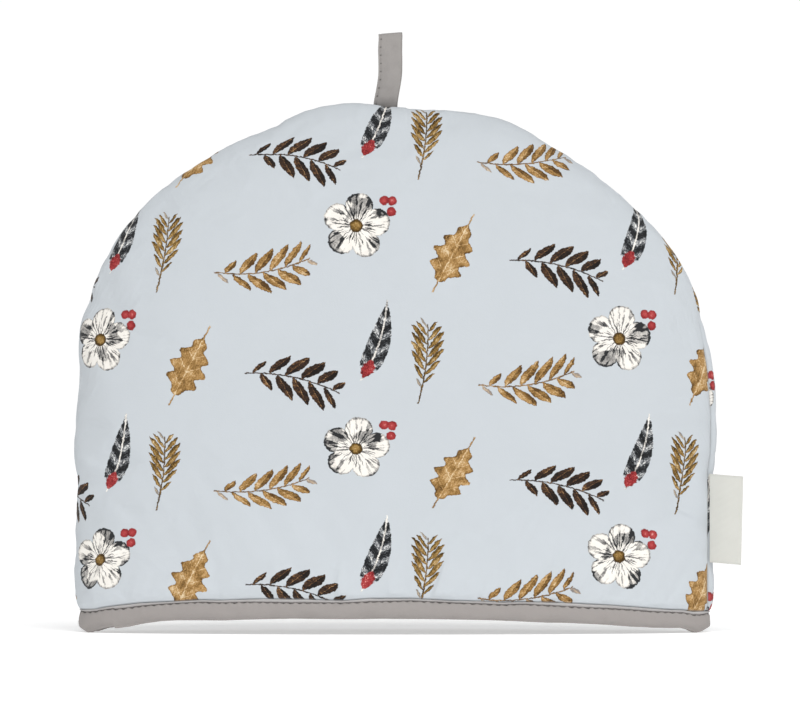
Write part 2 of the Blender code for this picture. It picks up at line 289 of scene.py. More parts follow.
def base_radius(direction):
    across = math.cos(direction) / HALF_WIDTH
    up = math.sin(direction) / (HEIGHT - SIDE_HEIGHT)
    return 1 / math.hypot(across, up)


def above_binding(height):
    return max(height - TUCK_START, 0.0)


def outline_radius(direction, height):
    """From the panel's upright spine to its finished outline."""
    radius = base_radius(direction) - TRIM
    degrees = math.degrees(direction)
    for wave in ARCH_WAVES:
        radius += swell(degrees, wave.direction, wave.spread, wave.height)
    for wave in SIDE_WAVES:
        if wave.side * math.cos(direction) > 0:
            radius += swell(above_binding(height), wave.height, wave.spread, wave.out)
    return radius


def panel_depth(height):
    share = above_binding(height) / (HEIGHT - TUCK_START)
    return DEPTH_AT_HEM + (DEPTH_AT_TOP - DEPTH_AT_HEM) * share


def hem_rise(face, x):
    """How far the binding's lower edge is off the floor."""
    side = LEFT if x < 0 else RIGHT
    hem = next(row for row in HEM_RISES if row.face == face and row.side == side)
    return hem.rise * max(1 - (abs(x) / hem.span) ** hem.power, 0.0)


def hem_spot(face, x):
    """The binding's unevenness at a place, in metres."""
    spots = HEM_SPOTS[face]
    x = min(max(x / MM, spots[0].x), spots[-1].x)
    for low, high in zip(spots, spots[1:]):
        if x <= high.x:
            share = straight(x, low.x, high.x)
            rest = [(a + (b - a) * share) * MM for a, b in zip(low[1:], high[1:])]
            return HemSpot(x * MM, *rest)


def hem_lift(spot, height):
    """How far the binding's unevenness lifts it at a height, from its lower to its upper edge."""
    return spot.edge + (spot.lip - spot.edge) * height / BINDING_HEIGHT


def fold_sink(face, x, z):
    sink = 0.0
    for fold in FOLDS:
        if fold.face == face:
            slope = math.radians(fold.slope_deg)
            along = (x - fold.x) * math.cos(slope) + (z - fold.z) * math.sin(slope)
            aside = (z - fold.z) * math.cos(slope) - (x - fold.x) * math.sin(slope)
            reach = math.hypot(along / fold.half_length, aside / fold.half_width)
            sink += fold.sink * math.exp(-reach * reach)
    return sink


def roll_limit(face, direction, depth):
    """The angle round the edge roll at which a panel ends, in the seam."""
    turn = math.radians(table_value(SEAM_TURNS, math.degrees(direction), ramp))
    return math.pi / 2 + face * turn - SEAM_GAP / 2 / depth


def on_section(face, direction, foot, roll, radius, depth, inset):
    """A point of the elliptical section that crosses the panel from its spine to its edge."""
    out = radius * math.sin(roll)
    fore = depth * math.cos(roll)
    normal = Vector((math.sin(roll) / radius, math.cos(roll) / depth)).normalized()
    out -= inset * normal.x
    fore -= inset * normal.y
    return Vector((out * math.cos(direction), face * fore, foot + out * math.sin(direction)))


def seam_valley(direction, height):
    """How deep the seam lies where a panel ends."""
    valley = HEM_VALLEY + (SEAM_VALLEY - HEM_VALLEY) * ramp(height, TUCK_START, TUCK_END)
    if height > SIDE_HEIGHT:
        x = base_radius(direction) * math.cos(direction)
        valley += swell(x, LOOP_X, LOOP_DIP_SPREAD, LOOP_DIP)
    return valley


# ---- Finer relief of the padded panels ----

PUCKER = 0.8 * MM
PUCKER_PITCH = 10 * MM
PUCKER_REACH = 5.5 * MM  # deepest this far from the seam
PUCKER_SEED = 10
GATHER = 0.75 * MM  # the same above the binding
GATHER_PITCH = 12 * MM
GATHER_REACH = 6 * MM
GATHER_SLANT = 0.45
GATHER_SEED = 20
LOFT = 0.8 * MM  # slow unevenness of the wadding
LOFT_PITCH = 48 * MM
LOFT_SEED = 30
# The share of the hem's tuck that is left at each height in mm: the cloth swells out above the lip
TUCK_SHARES = [
    (0.0, 1.0), (10.1, 1.0), (10.5, 0.8), (10.9, 0.6), (11.8, 0.4), (13.5, 0.2), (17.5, 0.0),
]

# Soft creases, in mm: each runs from a foot near a seam to its tip. On that way, with x to the
# right, it is steep on its left and eases off on its right, or the other way round where its
# height is below zero.
Crease = namedtuple("Crease", "face foot tip height steep ease")
CREASES = [
    Crease(FRONT, (-28, 14), (-25, 36), 1.8, 1.0, 5),
    Crease(FRONT, (-61, 14), (-60, 42), 1.1, 1.2, 6),
    Crease(FRONT, (21, 15), (33, 38), 2.5, 0.9, 6),
    Crease(FRONT, (83, 12), (97, 33), 2.4, 0.9, 5),
    Crease(FRONT, (-155, 24), (-136, 46), 2.0, 1.6, 6),
    Crease(FRONT, (-104, 13), (-101, 30), 1.0, 1.1, 4),
    Crease(FRONT, (-3, 12), (-1, 25), 1.0, 0.9, 4),
    Crease(FRONT, (49, 12), (54, 27), 1.1, 1.0, 4),
    Crease(FRONT, (66, 11), (70, 21), 0.8, 0.9, 3),
    Crease(FRONT, (116, 12), (124, 30), 1.3, 1.0, 4),
    Crease(FRONT, (140, 10), (146, 26), 1.0, 1.0, 4),
    Crease(FRONT, (-158, 90), (-128, 81), 1.8, 2.2, 8),
    Crease(FRONT, (161, 60), (146, 72), 1.3, 1.6, 6),
    Crease(FRONT, (-84, 12), (-86, 24), 0.7, 0.9, 3),
    Crease(FRONT, (5, 273), (9, 254), 1.5, 1.1, 5),
    Crease(FRONT, (-17, 273), (-23, 252), -1.1, 1.3, 5),
    Crease(BACK, (-66, 14), (-74, 42), -2.2, 1.1, 6),
    Crease(BACK, (-20, 13), (-14, 34), 1.8, 1.0, 5),
    Crease(BACK, (14, 13), (20, 46), -2.2, 1.2, 6),
    Crease(BACK, (74, 12), (92, 42), 2.4, 1.0, 6),
    Crease(BACK, (118, 13), (114, 32), -1.5, 1.0, 4),
    Crease(BACK, (-120, 13), (-112, 36), 1.8, 1.1, 5),
    Crease(BACK, (-44, 12), (-40, 25), 1.1, 1.0, 4),
    Crease(BACK, (150, 84), (122, 90), -1.8, 2.0, 8),
    Crease(BACK, (-156, 70), (-132, 60), 1.7, 2.0, 8),
    Crease(BACK, (12, 273), (20, 250), -1.3, 1.2, 5),
]
CREASE_GROWS = (-0.35, 0.15)  # shares of the way from foot to tip
CREASE_FADES = (0.2, 1.2)
CREASE_SPAN = (-0.4, 1.3)  # beyond these it has died out
CREASE_REACH = (3, 5)  # and beyond so many flanks and backs on its two sides
CREASE_WANDER = 1.3  # its line swings this far
CREASE_SWINGS = 2.6
CREASE_WIDENS = 1.2
CREASE_FLANK = 2.6
CREASE_TROUGH = 0.25  # the cloth sinks a little before the steep side
CREASES_FROM = 10.8 * MM  # the height at which the creases come out of the binding
CREASES_FREE = 3 * MM  # and over which they grow to their full height


def crease_height(crease, x, z):
    """How far one crease lifts the cloth at a place, all in millimetres."""
    foot_x, foot_z = crease.foot
    run_x, run_z = crease.tip[0] - foot_x, crease.tip[1] - foot_z
    length = math.hypot(run_x, run_z)
    away_x, away_z = x - foot_x, z - foot_z
    along = (away_x * run_x + away_z * run_z) / (length * length)
    if not CREASE_SPAN[0] < along < CREASE_SPAN[1]:
        return 0.0
    aside = (away_x * run_z - away_z * run_x) / length
    aside -= CREASE_WANDER * math.sin(CREASE_SWINGS * along + foot_x)
    if crease.height < 0:
        aside = -aside
    steep = crease.steep * (1 + CREASE_WIDENS * max(along, 0))
    if not -CREASE_REACH[0] * steep < aside < CREASE_REACH[1] * crease.ease:
        return 0.0
    strength = ramp(along, *CREASE_GROWS) * (1 - ramp(along, *CREASE_FADES))
    flank = 1 / (1 + math.exp(-CREASE_FLANK * aside / steep))
    trough = swell(aside, -2 * steep, 2 * steep, CREASE_TROUGH)
    back = math.exp(-max(aside, 0) / crease.ease) - trough
    return abs(crease.height) * strength * flank * back


def crease_rise(face, x, z):
    """How far the soft creases lift the cloth at a place, in metres."""
    creases = (crease for crease in CREASES if crease.face == face)
    return MM * sum(crease_height(crease, x / MM, z / MM) for crease in creases)


def seam_run(direction, height):
    """The way along the seam, from the hem at the right, over the top, to the hem at the left."""
    if height > SIDE_HEIGHT:
        return SIDE_HEIGHT + direction * HALF_WIDTH
    return height if math.cos(direction) > 0 else 2 * SIDE_HEIGHT + math.pi * HALF_WIDTH - height


FINER = 2.3  # the finer wandering's turns to one of the coarse one


def unevenness(along, pitch, seed):
    """About -1 to 1, wandering with the given pitch and, half as strong, with a finer one."""
    coarse = noise.noise(Vector((along / pitch, seed, 0)))
    fine = noise.noise(Vector((FINER * along / pitch, seed, 5)))
    return coarse + 0.5 * fine


def bump_profile(distance, reach):
    """0 at the edge, 1 at the reach, fading beyond it."""
    share = max(distance, 0.0) / reach
    return share * math.exp(1 - share)


def panel_relief(face, flat_x, height, direction, from_seam):
    """How far the cloth lies under the smooth panel."""
    pucker = unevenness(seam_run(direction, height), PUCKER_PITCH, PUCKER_SEED + face)
    above = height - TUCK_START
    gather = unevenness(flat_x - GATHER_SLANT * above, GATHER_PITCH, GATHER_SEED + face)
    gather *= bump_profile(above, GATHER_REACH) * ramp(height, TUCK_START, TUCK_END)
    clear = ramp(from_seam, 0, 2 * ROLL_WIDTH) * ramp(height, TUCK_START, 3 * TUCK_END)
    place = Vector((flat_x / LOFT_PITCH, height / LOFT_PITCH, LOFT_SEED + face))
    loft = noise.noise(place) * clear
    return PUCKER * pucker * bump_profile(from_seam, PUCKER_REACH) + GATHER * gather + LOFT * loft


ARC_STEPS = 12


def section_step(angle, radius, depth):
    """How fast the way along an elliptical section grows with the roll angle."""
    return math.hypot(radius * math.cos(angle), depth * math.sin(angle))


def arc_length(roll, radius, depth):
    """Along an elliptical section, from its middle to a roll angle."""
    step = roll / ARC_STEPS
    angles = ((i + 0.5) * step for i in range(ARC_STEPS))
    return sum(section_step(angle, radius, depth) * step for angle in angles)


PanelPlace = namedtuple("PanelPlace", "point thickness cut from_edges")


def panel_place(face, flat_x, height):
    """A place of a panel's outer surface: its point, the padding's thickness and the cut place.

    from_edges holds the way from the seam and from the hem's lower edge.
    """
    foot = min(height, SIDE_HEIGHT)
    if height > foot:
        direction = math.atan2(height - foot, flat_x)
    else:
        direction = 0.0 if flat_x > 0 else math.pi
    share = min(math.hypot(flat_x, height - foot) / base_radius(direction), 1.0)
    depth = panel_depth(height)
    limit = roll_limit(face, direction, depth)
    roll = math.asin(share) / (math.pi / 2) * limit
    radius = outline_radius(direction, height)
    from_seam = (limit - roll) * depth

    tucked = ramp(height, TUCK_START, TUCK_END)
    inset = HEM_TUCK * table_value(TUCK_SHARES, height / MM, straight)
    inset += fold_sink(face, flat_x, height) * tucked
    inset += seam_valley(direction, height) * math.exp(-((from_seam / VALLEY_SPREAD) ** 2))
    inset += panel_relief(face, flat_x, height, direction, from_seam) * tucked
    point = on_section(face, direction, foot, roll, radius, depth, inset)
    edge_x = radius * math.sin(roll) * math.cos(direction)
    point.z += hem_rise(face, edge_x) * (1 - ramp(height, TUCK_END, RISE_FADES_AT))
    lift = hem_lift(hem_spot(face, edge_x), min(height, BINDING_HEIGHT))
    point.z += lift * (1 - ramp(height, TUCK_END, PANEL_SETTLES_AT))

    thickness = SEAM_THICKNESS + (PADDING - SEAM_THICKNESS) * ramp(from_seam, 0, ROLL_WIDTH)
    pressed = HEM_THICKNESS + (PADDING - HEM_THICKNESS) * tucked
    arc = arc_length(roll, radius, depth)
    cut = Vector((-face * arc * math.cos(direction), foot + arc * math.sin(direction)))
    if height <= SIDE_HEIGHT:
        cut.y = height
    return PanelPlace(point, min(thickness, pressed), cut, Vector((from_seam, height)))


HemPlace = namedtuple("HemPlace", "point out rise")
IN_SEAM = math.pi / 2 - 0.001  # a column past this lies in the side seam itself


def hem_place(face, column):
    """The hem under one column: its point on the panels' outer side, the way out, and its rise."""
    direction = 0.0 if column > 0 else math.pi
    depth = panel_depth(0)
    limit = roll_limit(face, direction, depth)
    if abs(column) > IN_SEAM:  # there the gap is closed
        limit += SEAM_GAP / 2 / depth
    roll = abs(column) / (math.pi / 2) * limit
    radius = outline_radius(direction, 0)
    outer = on_section(face, direction, 0, roll, radius, depth, HEM_TUCK)
    out = on_section(face, direction, 0, roll, radius, depth, HEM_TUCK - MM) - outer
    edge_x = radius * math.sin(roll) * math.cos(direction)
    return HemPlace(outer, out.normalized(), hem_rise(face, edge_x))


SHIFT_STEPS = 40


def hem_shift():
    """From the dome's own coordinates to the frame's, by the box of the hem's binding."""
    outer = CLEARANCE + BINDING_CLOTH
    ring = []
    for face in (FRONT, BACK):
        for step in range(SHIFT_STEPS + 1):
            place = hem_place(face, (step / SHIFT_STEPS - 0.5) * math.pi)
            ring.append(place.point + place.out * outer)
    low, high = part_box("hem_binding")
    x = (low.x + high.x) / 2 - (min(p.x for p in ring) + max(p.x for p in ring)) / 2
    y = (low.y + high.y) / 2 - (min(p.y for p in ring) + max(p.y for p in ring)) / 2
    return Vector((x, y, 0))


DOME_SHIFT = hem_shift()


def dome_place(point):
    """From the dome's own coordinates, with its middle at x = 0, to the frame's."""
    return point + DOME_SHIFT


# ---- Modelling helpers ----

WELD = 0.01 * MM


def deselect_all():
    bpy.ops.object.select_all(action="DESELECT")


def pick(piece):
    deselect_all()
    piece.select_set(True)
    bpy.context.view_layer.objects.active = piece


def new_grid(name, across, up):
    """A grid of one metre, whose corners are then moved to their places."""
    deselect_all()
    bpy.ops.mesh.primitive_grid_add(x_subdivisions=across, y_subdivisions=up, size=1)
    piece = bpy.context.object
    piece.name = name
    piece.data.name = name
    return piece


def lay_out(piece, place):
    """Moves each corner from (0 to 1, 0 to 1) to its point, and writes its cut place to the UV map.

    place returns the point, the cut place and the share of the full thickness, and for a panel also
    how far the place is from the seam and from the hem, for a second UV map.
    """
    mesh = piece.data
    shares = piece.vertex_groups.new(name="thickness_share")
    cuts, edges = [], []
    for corner in mesh.vertices:
        point, cut, share, *from_edges = place(corner.co.x + 0.5, corner.co.y + 0.5)
        corner.co = point
        shares.add([corner.index], share, "REPLACE")
        cuts.append(cut)
        edges += from_edges
    mesh.uv_layers.active.name = "cut"
    write_uv(mesh, "cut", cuts)
    if edges:
        mesh.uv_layers.new(name="from_edges")
        write_uv(mesh, "from_edges", edges)


def write_uv(mesh, name, places):
    layer = mesh.uv_layers[name]
    for loop in mesh.loops:
        layer.data[loop.index].uv = places[loop.vertex_index]


def add_wall(piece, thickness, side, inner_slot=0):
    wall = piece.modifiers.new("cloth_thickness", "SOLIDIFY")
    wall.thickness = thickness
    wall.offset = side
    wall.vertex_group = "thickness_share"
    wall.material_offset = inner_slot
    wall.material_offset_rim = inner_slot


def apply_modifiers(piece):
    pick(piece)
    for modifier in list(piece.modifiers):
        bpy.ops.object.modifier_apply(modifier=modifier.name)


def weld(piece):
    """Joins the ends of a grid that closes on itself."""
    pick(piece)
    bpy.ops.object.mode_set(mode="EDIT")
    bpy.ops.mesh.select_all(action="SELECT")
    bpy.ops.mesh.remove_doubles(threshold=WELD)
    bpy.ops.mesh.normals_make_consistent(inside=False)
    bpy.ops.object.mode_set(mode="OBJECT")


def drop_faces(piece, slot):
    """Removes the faces of one material slot."""
    shape = bmesh.new()
    shape.from_mesh(piece.data)
    faces = [face for face in shape.faces if face.material_index == slot]
    bmesh.ops.delete(shape, geom=faces, context="FACES")
    shape.to_mesh(piece.data)
    shape.free()


def smooth(piece, degrees=50):
    pick(piece)
    bpy.ops.object.shade_smooth_by_angle(angle=math.radians(degrees))


def finish_sheet(name, grid, place, material, thickness):
    """A thin sheet of cloth, with its wall on both sides of the places."""
    sheet = new_grid(name, *grid)
    lay_out(sheet, place)
    sheet.data.materials.append(material)
    add_wall(sheet, thickness, 0)
    apply_modifiers(sheet)
    smooth(sheet)
    return sheet


# ---- The padded panels ----

SKIN = (166, 126)  # columns and rows of the outer cloth, before it is subdivided
INNER = (96, 64)  # of the cloth inside
HEM_ROWS = [h * MM for h in (1.5, 5, 8.5, 9.6, 10.1, 10.5, 10.9, 11.3, 11.8, 12.5, 13.4)]
ARC_TABLE = 400
CUT_FROM = {FRONT: Vector((0, 0)), BACK: Vector((0.043, 0.031))}  # each panel's place in the print

CLOTH_FRAMES = 20
CLOTH = {
    "quality": 6,
    "mass": 0.1,
    "tension_stiffness": 15,
    "compression_stiffness": 15,
    "shear_stiffness": 5,
    "bending_stiffness": 0.05,
    "air_damping": 2,
    "pin_stiffness": 1.0,
    "use_pressure": True,
    "uniform_pressure_force": 0.6,  # how hard the wadding swells
    "shrink_min": -0.008,  # the cloth's extra length
}
HELD = 0.05  # how firmly the wadding holds the cloth where it isn't sewn
SEWN_WITHIN = 0.5 * MM  # up to here from its seam it is held fast
HELD_WITHIN = 3 * MM  # and from here on it is held no more firmly than that
MOST_MOVE = 2.2 * MM  # no corner moves further


def even_rolls(columns):
    """Roll angles, from one side seam to the other, that lie evenly along the cloth."""
    rolls = [math.pi / 2 * i / ARC_TABLE for i in range(ARC_TABLE + 1)]
    middles = ((low + high) / 2 for low, high in zip(rolls, rolls[1:]))
    arcs = running(section_step(middle, HALF_WIDTH, DEPTH_AT_HEM) for middle in middles)
    found = []
    for at, share, _ in evenly(arcs, columns // 2):
        found.append(rolls[at] + (rolls[at + 1] - rolls[at]) * share)
    return [-roll for roll in reversed(found[1:])] + found


def row_height(row, rows, top, rolls):
    """Rows stand at fixed heights in the hem, and above it lie evenly along the cloth."""
    if row < len(HEM_ROWS):
        return HEM_ROWS[row]
    last = HEM_ROWS[-1]
    share = (row - len(HEM_ROWS) + 1) / (rows - len(HEM_ROWS) + 1)
    steps = len(rolls) // 2
    at = min(int(share * steps), steps - 1)
    low, high = rolls[steps + at], rolls[steps + at + 1]
    return last + (top - last) * math.sin(low + (high - low) * (share * steps - at))


def lay_panel(name, face, columns, rows):
    rolls = even_rolls(columns)
    flat_places = []

    def place(across, up):
        roll = rolls[round(across * columns)]
        flat_x = -face * HALF_WIDTH * math.sin(roll)
        height = row_height(round(up * rows), rows, arch_height(flat_x), rolls)
        point, thickness, cut, from_edges = panel_place(face, flat_x, height)
        flat_places.extend((flat_x, height, from_edges.x))
        return dome_place(point), cut + CUT_FROM[face], thickness / PADDING, from_edges

    panel = new_grid(name, columns, rows)
    lay_out(panel, place)
    layer = panel.data.attributes.new("flat_place", "FLOAT_VECTOR", "POINT")
    layer.data.foreach_set("vector", flat_places)
    return panel


def flat_corners(panel):
    """Each corner with its place on the flat panel and its way from the seam."""
    return zip(panel.data.vertices, (at.vector for at in panel.data.attributes["flat_place"].data))


def eased_moves(face):
    """How far each corner of a panel's outer cloth moves once it puckers.

    The cloth is simulated without its creases. Its sewn edges are held, the wadding swells behind
    it, and it has a little more length than they allow.
    """
    panel = lay_panel("loose", face, *SKIN)
    sewn = panel.vertex_groups.new(name="sewn")
    before = [corner.co.copy() for corner in panel.data.vertices]
    for corner, (_, height, from_seam) in flat_corners(panel):
        free = ramp(from_seam, SEWN_WITHIN, HELD_WITHIN)
        free *= ramp(height, TUCK_START, TUCK_START + HELD_WITHIN)
        sewn.add([corner.index], 1 + (HELD - 1) * free, "REPLACE")
    settle = panel.modifiers.new("settle", "CLOTH")
    for name, value in CLOTH.items():
        setattr(settle.settings, name, value)
    settle.settings.vertex_group_mass = "sewn"
    settle.settings.effector_weights.gravity = 0
    settle.point_cache.frame_end = CLOTH_FRAMES
    for frame_number in range(1, CLOTH_FRAMES + 1):
        bpy.context.scene.frame_set(frame_number)
    pick(panel)
    bpy.ops.object.modifier_apply(modifier=settle.name)
    bpy.context.scene.frame_set(1)
    moves = [corner.co - start for corner, start in zip(panel.data.vertices, before)]
    bpy.data.objects.remove(panel)
    return moves


def raise_creases(panel, face):
    """Lifts the soft creases out of a panel's outer cloth."""
    rises = []
    for corner, (flat_x, height, from_seam) in flat_corners(panel):
        free = ramp(from_seam, 0, ROLL_WIDTH / 2)
        free *= ramp(height, CREASES_FROM, CREASES_FROM + CREASES_FREE)
        rises.append(corner.normal * (crease_rise(face, flat_x, height) * free))
    for corner, rise in zip(panel.data.vertices, rises):
        corner.co += rise


def make_panel(name, face, materials):
    """The outer cloth, with the inner cloth and the edges joined to it."""
    inside = lay_panel("inside", face, *INNER)
    panel = lay_panel(name, face, *SKIN)
    for piece in (inside, panel):
        for material in materials:
            piece.data.materials.append(material)
    add_wall(inside, PADDING, -1, 1)
    apply_modifiers(inside)
    drop_faces(inside, 0)

    for corner, move in zip(panel.data.vertices, eased_moves(face)):
        corner.co += move * min(MOST_MOVE / max(move.length, MOST_MOVE), 1)
    finer = panel.modifiers.new("finer", "SUBSURF")
    finer.levels = finer.render_levels = 1
    apply_modifiers(panel)
    raise_creases(panel, face)
    pick(panel)
    inside.select_set(True)
    bpy.ops.object.join()
    smooth(panel)
    return panel


# ---- The hem's binding ----

RING_SAMPLES = 900
RingPlace = namedtuple("RingPlace", "point out rise arc spot")
STITCH_PITCH = 4.25 * MM
STITCH_COLUMNS = 6  # columns of the binding to one stitch
DRAWN_IN = 0.85 * MM  # how far a stitch pulls the binding in
DRAWN_ALWAYS = 0.6  # the share of that between two stitches
SCALLOP = 0.15 * MM  # how far the stitch line dips at a stitch
LINE_SHIFTS_OVER = 6 * MM  # below the stitch line, where its wandering fades out
DRAG_WRINKLE = 0.4 * MM
DRAG_PITCH = 8 * MM
DRAG_ROWS = 6 * MM
DRAG_SLANT = 0.8
DRAG_SEED = 3
EDGE_WANDER = 0.25 * MM  # how far each edge wavers
EDGE_BAND = 3 * MM
LIP_WANDER = (9 * MM, 40)  # pitch and seed
FOOT_WANDER = (14 * MM, 43)
LAP_X = -144 * MM  # the binding's lapped end, at the front
LAP_LIFT = 0.7 * MM
LAP_LENGTH = 15 * MM
LAP_FADES_FROM = 6 * MM
LAP_STEP = 0.8 * MM
LAP_TOP = 4 * MM  # it shows only below this
LIP_SHARE = 0.7  # the lips lie this near to the panels, as a share of the clearance
LIP_DROP = 0.1 * MM  # from the binding's top to the inner edge of its outer lip
POCKET_DROP = 0.5 * MM  # and to the top of its walls' inner faces


def hem_ring(steps):
    """Evenly spaced places round the hem, and its length."""
    places = []
    for face in (FRONT, BACK):
        for step in range(RING_SAMPLES):
            column = (step / RING_SAMPLES - 0.5) * math.pi
            places.append(hem_place(face, column if face == FRONT else -column))
    places.append(places[0])
    pairs = zip(places, places[1:])
    arcs = running((second.point - first.point).length for first, second in pairs)
    ring = []
    for at, share, arc in evenly(arcs, steps):
        first, second = places[at], places[at + 1]
        point = first.point.lerp(second.point, share)
        out = first.out.lerp(second.out, share).normalized()
        rise = first.rise + (second.rise - first.rise) * share
        spot = hem_spot(FRONT if point.y < 0 else BACK, point.x)
        ring.append(RingPlace(point, out, rise, arc, spot))
    return ring[:-1], arcs[-1]


# One row along the binding: out from the panels' outer side, up, how far it swells there, and how
# far the stitches draw it in
Row = namedtuple("Row", "out up swelling drawn")
# The outer wall, in mm from its plain face and from the binding's top, its stitches and its foot
LIP_ROWS = [
    Row(-0.55, 0, 0.0, 0.1),
    Row(-0.12, -0.25, 0.3, 0.2),
    Row(0.05, -0.7, 0.6, 0.3),
    Row(0, -1.3, 0.5, 0.6),
]
STITCH_ROWS = [
    Row(-0.2, 0.45, 0.1, 0.9),
    Row(-0.3, 0, 0.0, 1.0),
    Row(-0.2, -0.45, 0.1, 0.9),
    Row(-0.02, -1.1, 0.5, 0.5),
    Row(0.08, -2.1, 0.9, 0.2),
    Row(0.14, -3.3, 1.0, 0.1),
    Row(0.14, -4.6, 1.0, 0.0),
    Row(0.06, -5.8, 0.8, 0.0),
]
FOOT_ROWS = [
    Row(-0.1, 1.4, 0.5, 0.0),
    Row(-0.45, 0.65, 0.3, 0.0),
    Row(-1.0, 0.2, 0.1, 0.0),
    Row(-1.8, 0, 0.0, 0.0),
]


def binding_profile():
    """The binding's section from its outer lip, down, under the hem and up to its inner lip."""
    outer = CLEARANCE + BINDING_CLOTH
    inner = -(HEM_THICKNESS + CLEARANCE + BINDING_CLOTH)
    lip_out = CLEARANCE * LIP_SHARE
    lip_in = -HEM_THICKNESS - CLEARANCE * LIP_SHARE
    levels = (
        (LIP_ROWS, BINDING_HEIGHT),
        (STITCH_ROWS, BINDING_HEIGHT - STITCH_DROP),
        (FOOT_ROWS, 0),
    )
    wall = [
        row._replace(out=outer + row.out * MM, up=level + row.up * MM)
        for rows, level in levels
        for row in rows
    ]
    opposite = [row._replace(out=outer + inner - row.out) for row in reversed(wall)]
    pocket = [
        Row(lip_in, BINDING_HEIGHT - POCKET_DROP, 0.0, 0.0),
        Row(lip_in, HEM_EDGE - CLEARANCE, 0.0, 0.0),
        Row(lip_out, HEM_EDGE - CLEARANCE, 0.0, 0.0),
        Row(lip_out, BINDING_HEIGHT - POCKET_DROP, 0.0, 0.0),
    ]
    return [Row(lip_out, BINDING_HEIGHT - LIP_DROP, 0.0, 0.0)] + wall + opposite + pocket


PROFILE = binding_profile()
HEM_LENGTH = hem_ring(1)[1]
STITCHES_ROUND = round(HEM_LENGTH / STITCH_PITCH)
FITTED_PITCH = HEM_LENGTH / STITCHES_ROUND


def lap_share(place):
    """1 where the binding's end lies over its start, 0 elsewhere."""
    if place.point.y > 0:
        return 0.0
    inside = LAP_X - place.point.x
    return ramp(inside, -LAP_STEP, 0) * (1 - ramp(inside, LAP_FADES_FROM, LAP_LENGTH))


def stitch_pull(arc):
    """1 in the middle of a stitch, 0 half way to the next."""
    return 0.5 - 0.5 * math.cos(2 * math.pi * arc / FITTED_PITCH)


def ring_noise(place, pitch, seed):
    """Wandering from -1 to 1 that closes round the hem."""
    return noise.noise(Vector((place.point.x / pitch, place.point.y / pitch, seed)))


def closer_stitches(up, drop):
    """Moves the stitch line from its usual drop below the lip to this one."""
    line = BINDING_HEIGHT - STITCH_DROP
    if up > line:
        return BINDING_HEIGHT - (BINDING_HEIGHT - up) * drop / STITCH_DROP
    return up + (STITCH_DROP - drop) * ramp(up, line - LINE_SHIFTS_OVER, line)


def on_binding(place, row):
    """A point of the binding's surface for one row of its section."""
    outwards, up, swelling, drawn = row
    side = 1 if outwards > -HEM_THICKNESS / 2 else -1
    pull = DRAWN_ALWAYS + (1 - DRAWN_ALWAYS) * stitch_pull(place.arc)
    slanted = (place.point.x + DRAG_SLANT * up) / DRAG_PITCH
    aside = place.point.y / DRAG_PITCH
    drag = noise.noise(Vector((slanted, aside, DRAG_SEED * side + up / DRAG_ROWS)))
    outwards += side * (DRAG_WRINKLE * swelling * drag - DRAWN_IN * drawn * pull)
    if side > 0:
        outwards += LAP_LIFT * lap_share(place) * (1 - ramp(up, 0, LAP_TOP))
    lift = hem_lift(place.spot, up)
    up -= SCALLOP * drawn * stitch_pull(place.arc)
    at_lip = ramp(up, BINDING_HEIGHT - EDGE_BAND, BINDING_HEIGHT)
    lift += EDGE_WANDER * ring_noise(place, *LIP_WANDER) * at_lip
    lift += EDGE_WANDER * max(ring_noise(place, *FOOT_WANDER), 0) * (1 - ramp(up, 0, EDGE_BAND))
    if side > 0:
        up = closer_stitches(up, place.spot.stitch)
    return place.point + place.out * outwards + UP * (place.rise + up + lift)


def lengths_round(profile):
    """How far along the binding's cloth each row of its section lies, from the outer lip."""
    pairs = zip(profile, profile[1:] + profile[:1])
    return running(math.hypot(low.out - high.out, low.up - high.up) for high, low in pairs)


def make_binding(material):
    columns = STITCHES_ROUND * STITCH_COLUMNS
    ring = hem_ring(columns)[0]
    rows_at = lengths_round(PROFILE)

    def place(around, along):
        step = round(around * columns)
        row = round(along * len(PROFILE))
        point = on_binding(ring[step % columns], PROFILE[row % len(PROFILE)])
        return dome_place(point), Vector((HEM_LENGTH * step / columns, rows_at[row])), 1

    binding = new_grid("hem_binding_cloth", columns, len(PROFILE))
    lay_out(binding, place)
    weld(binding)
    binding.data.materials.append(material)
    smooth(binding, 60)
    return binding


def stitch_frame(point, along, out):
    """A stitch's place, as a matrix with X along the seam and Y out of the cloth."""
    frame = Matrix((along, out, along.cross(out))).transposed().to_4x4()
    frame.translation = dome_place(point)
    return frame


def hem_stitch_frames():
    """Where the binding's stitches lie, outside and inside."""
    outside = next(row for row in PROFILE if row.drawn == 1.0)
    inside = outside._replace(out=-HEM_THICKNESS - outside.out)
    frames = []
    ring = hem_ring(2 * STITCHES_ROUND)[0]
    for before, spot in zip(ring[::2], ring[1::2]):
        along = (spot.point - before.point).normalized()
        for row in (outside, inside):
            frames.append(stitch_frame(on_binding(spot, row), along, spot.out))
    return frames


STITCH_LENGTH = 3.0 * MM
THREAD = 0.3 * MM  # half its thickness


def make_stitches(name, frames, material):
    """One stitch is modelled and copied to every place, and the copies are joined."""
    deselect_all()
    bpy.ops.mesh.primitive_uv_sphere_add(segments=8, ring_count=6, radius=1)
    model = bpy.context.object
    model.scale = (STITCH_LENGTH / 2, THREAD, THREAD)
    bpy.ops.object.transform_apply(location=False, rotation=False, scale=True)
    model.data.materials.append(material)
    bpy.ops.object.shade_smooth()
    copies = []
    for frame in frames:
        stitch = model.copy()
        stitch.data = model.data.copy()
        stitch.matrix_world = frame
        bpy.context.scene.collection.objects.link(stitch)
        copies.append(stitch)
    bpy.data.objects.remove(model)
    pick(copies[0])
    for stitch in copies:
        stitch.select_set(True)
    bpy.ops.object.join()
    bpy.ops.object.transform_apply(location=True, rotation=True, scale=True)
    copies[0].name = name
    copies[0].data.name = name
    return copies[0]


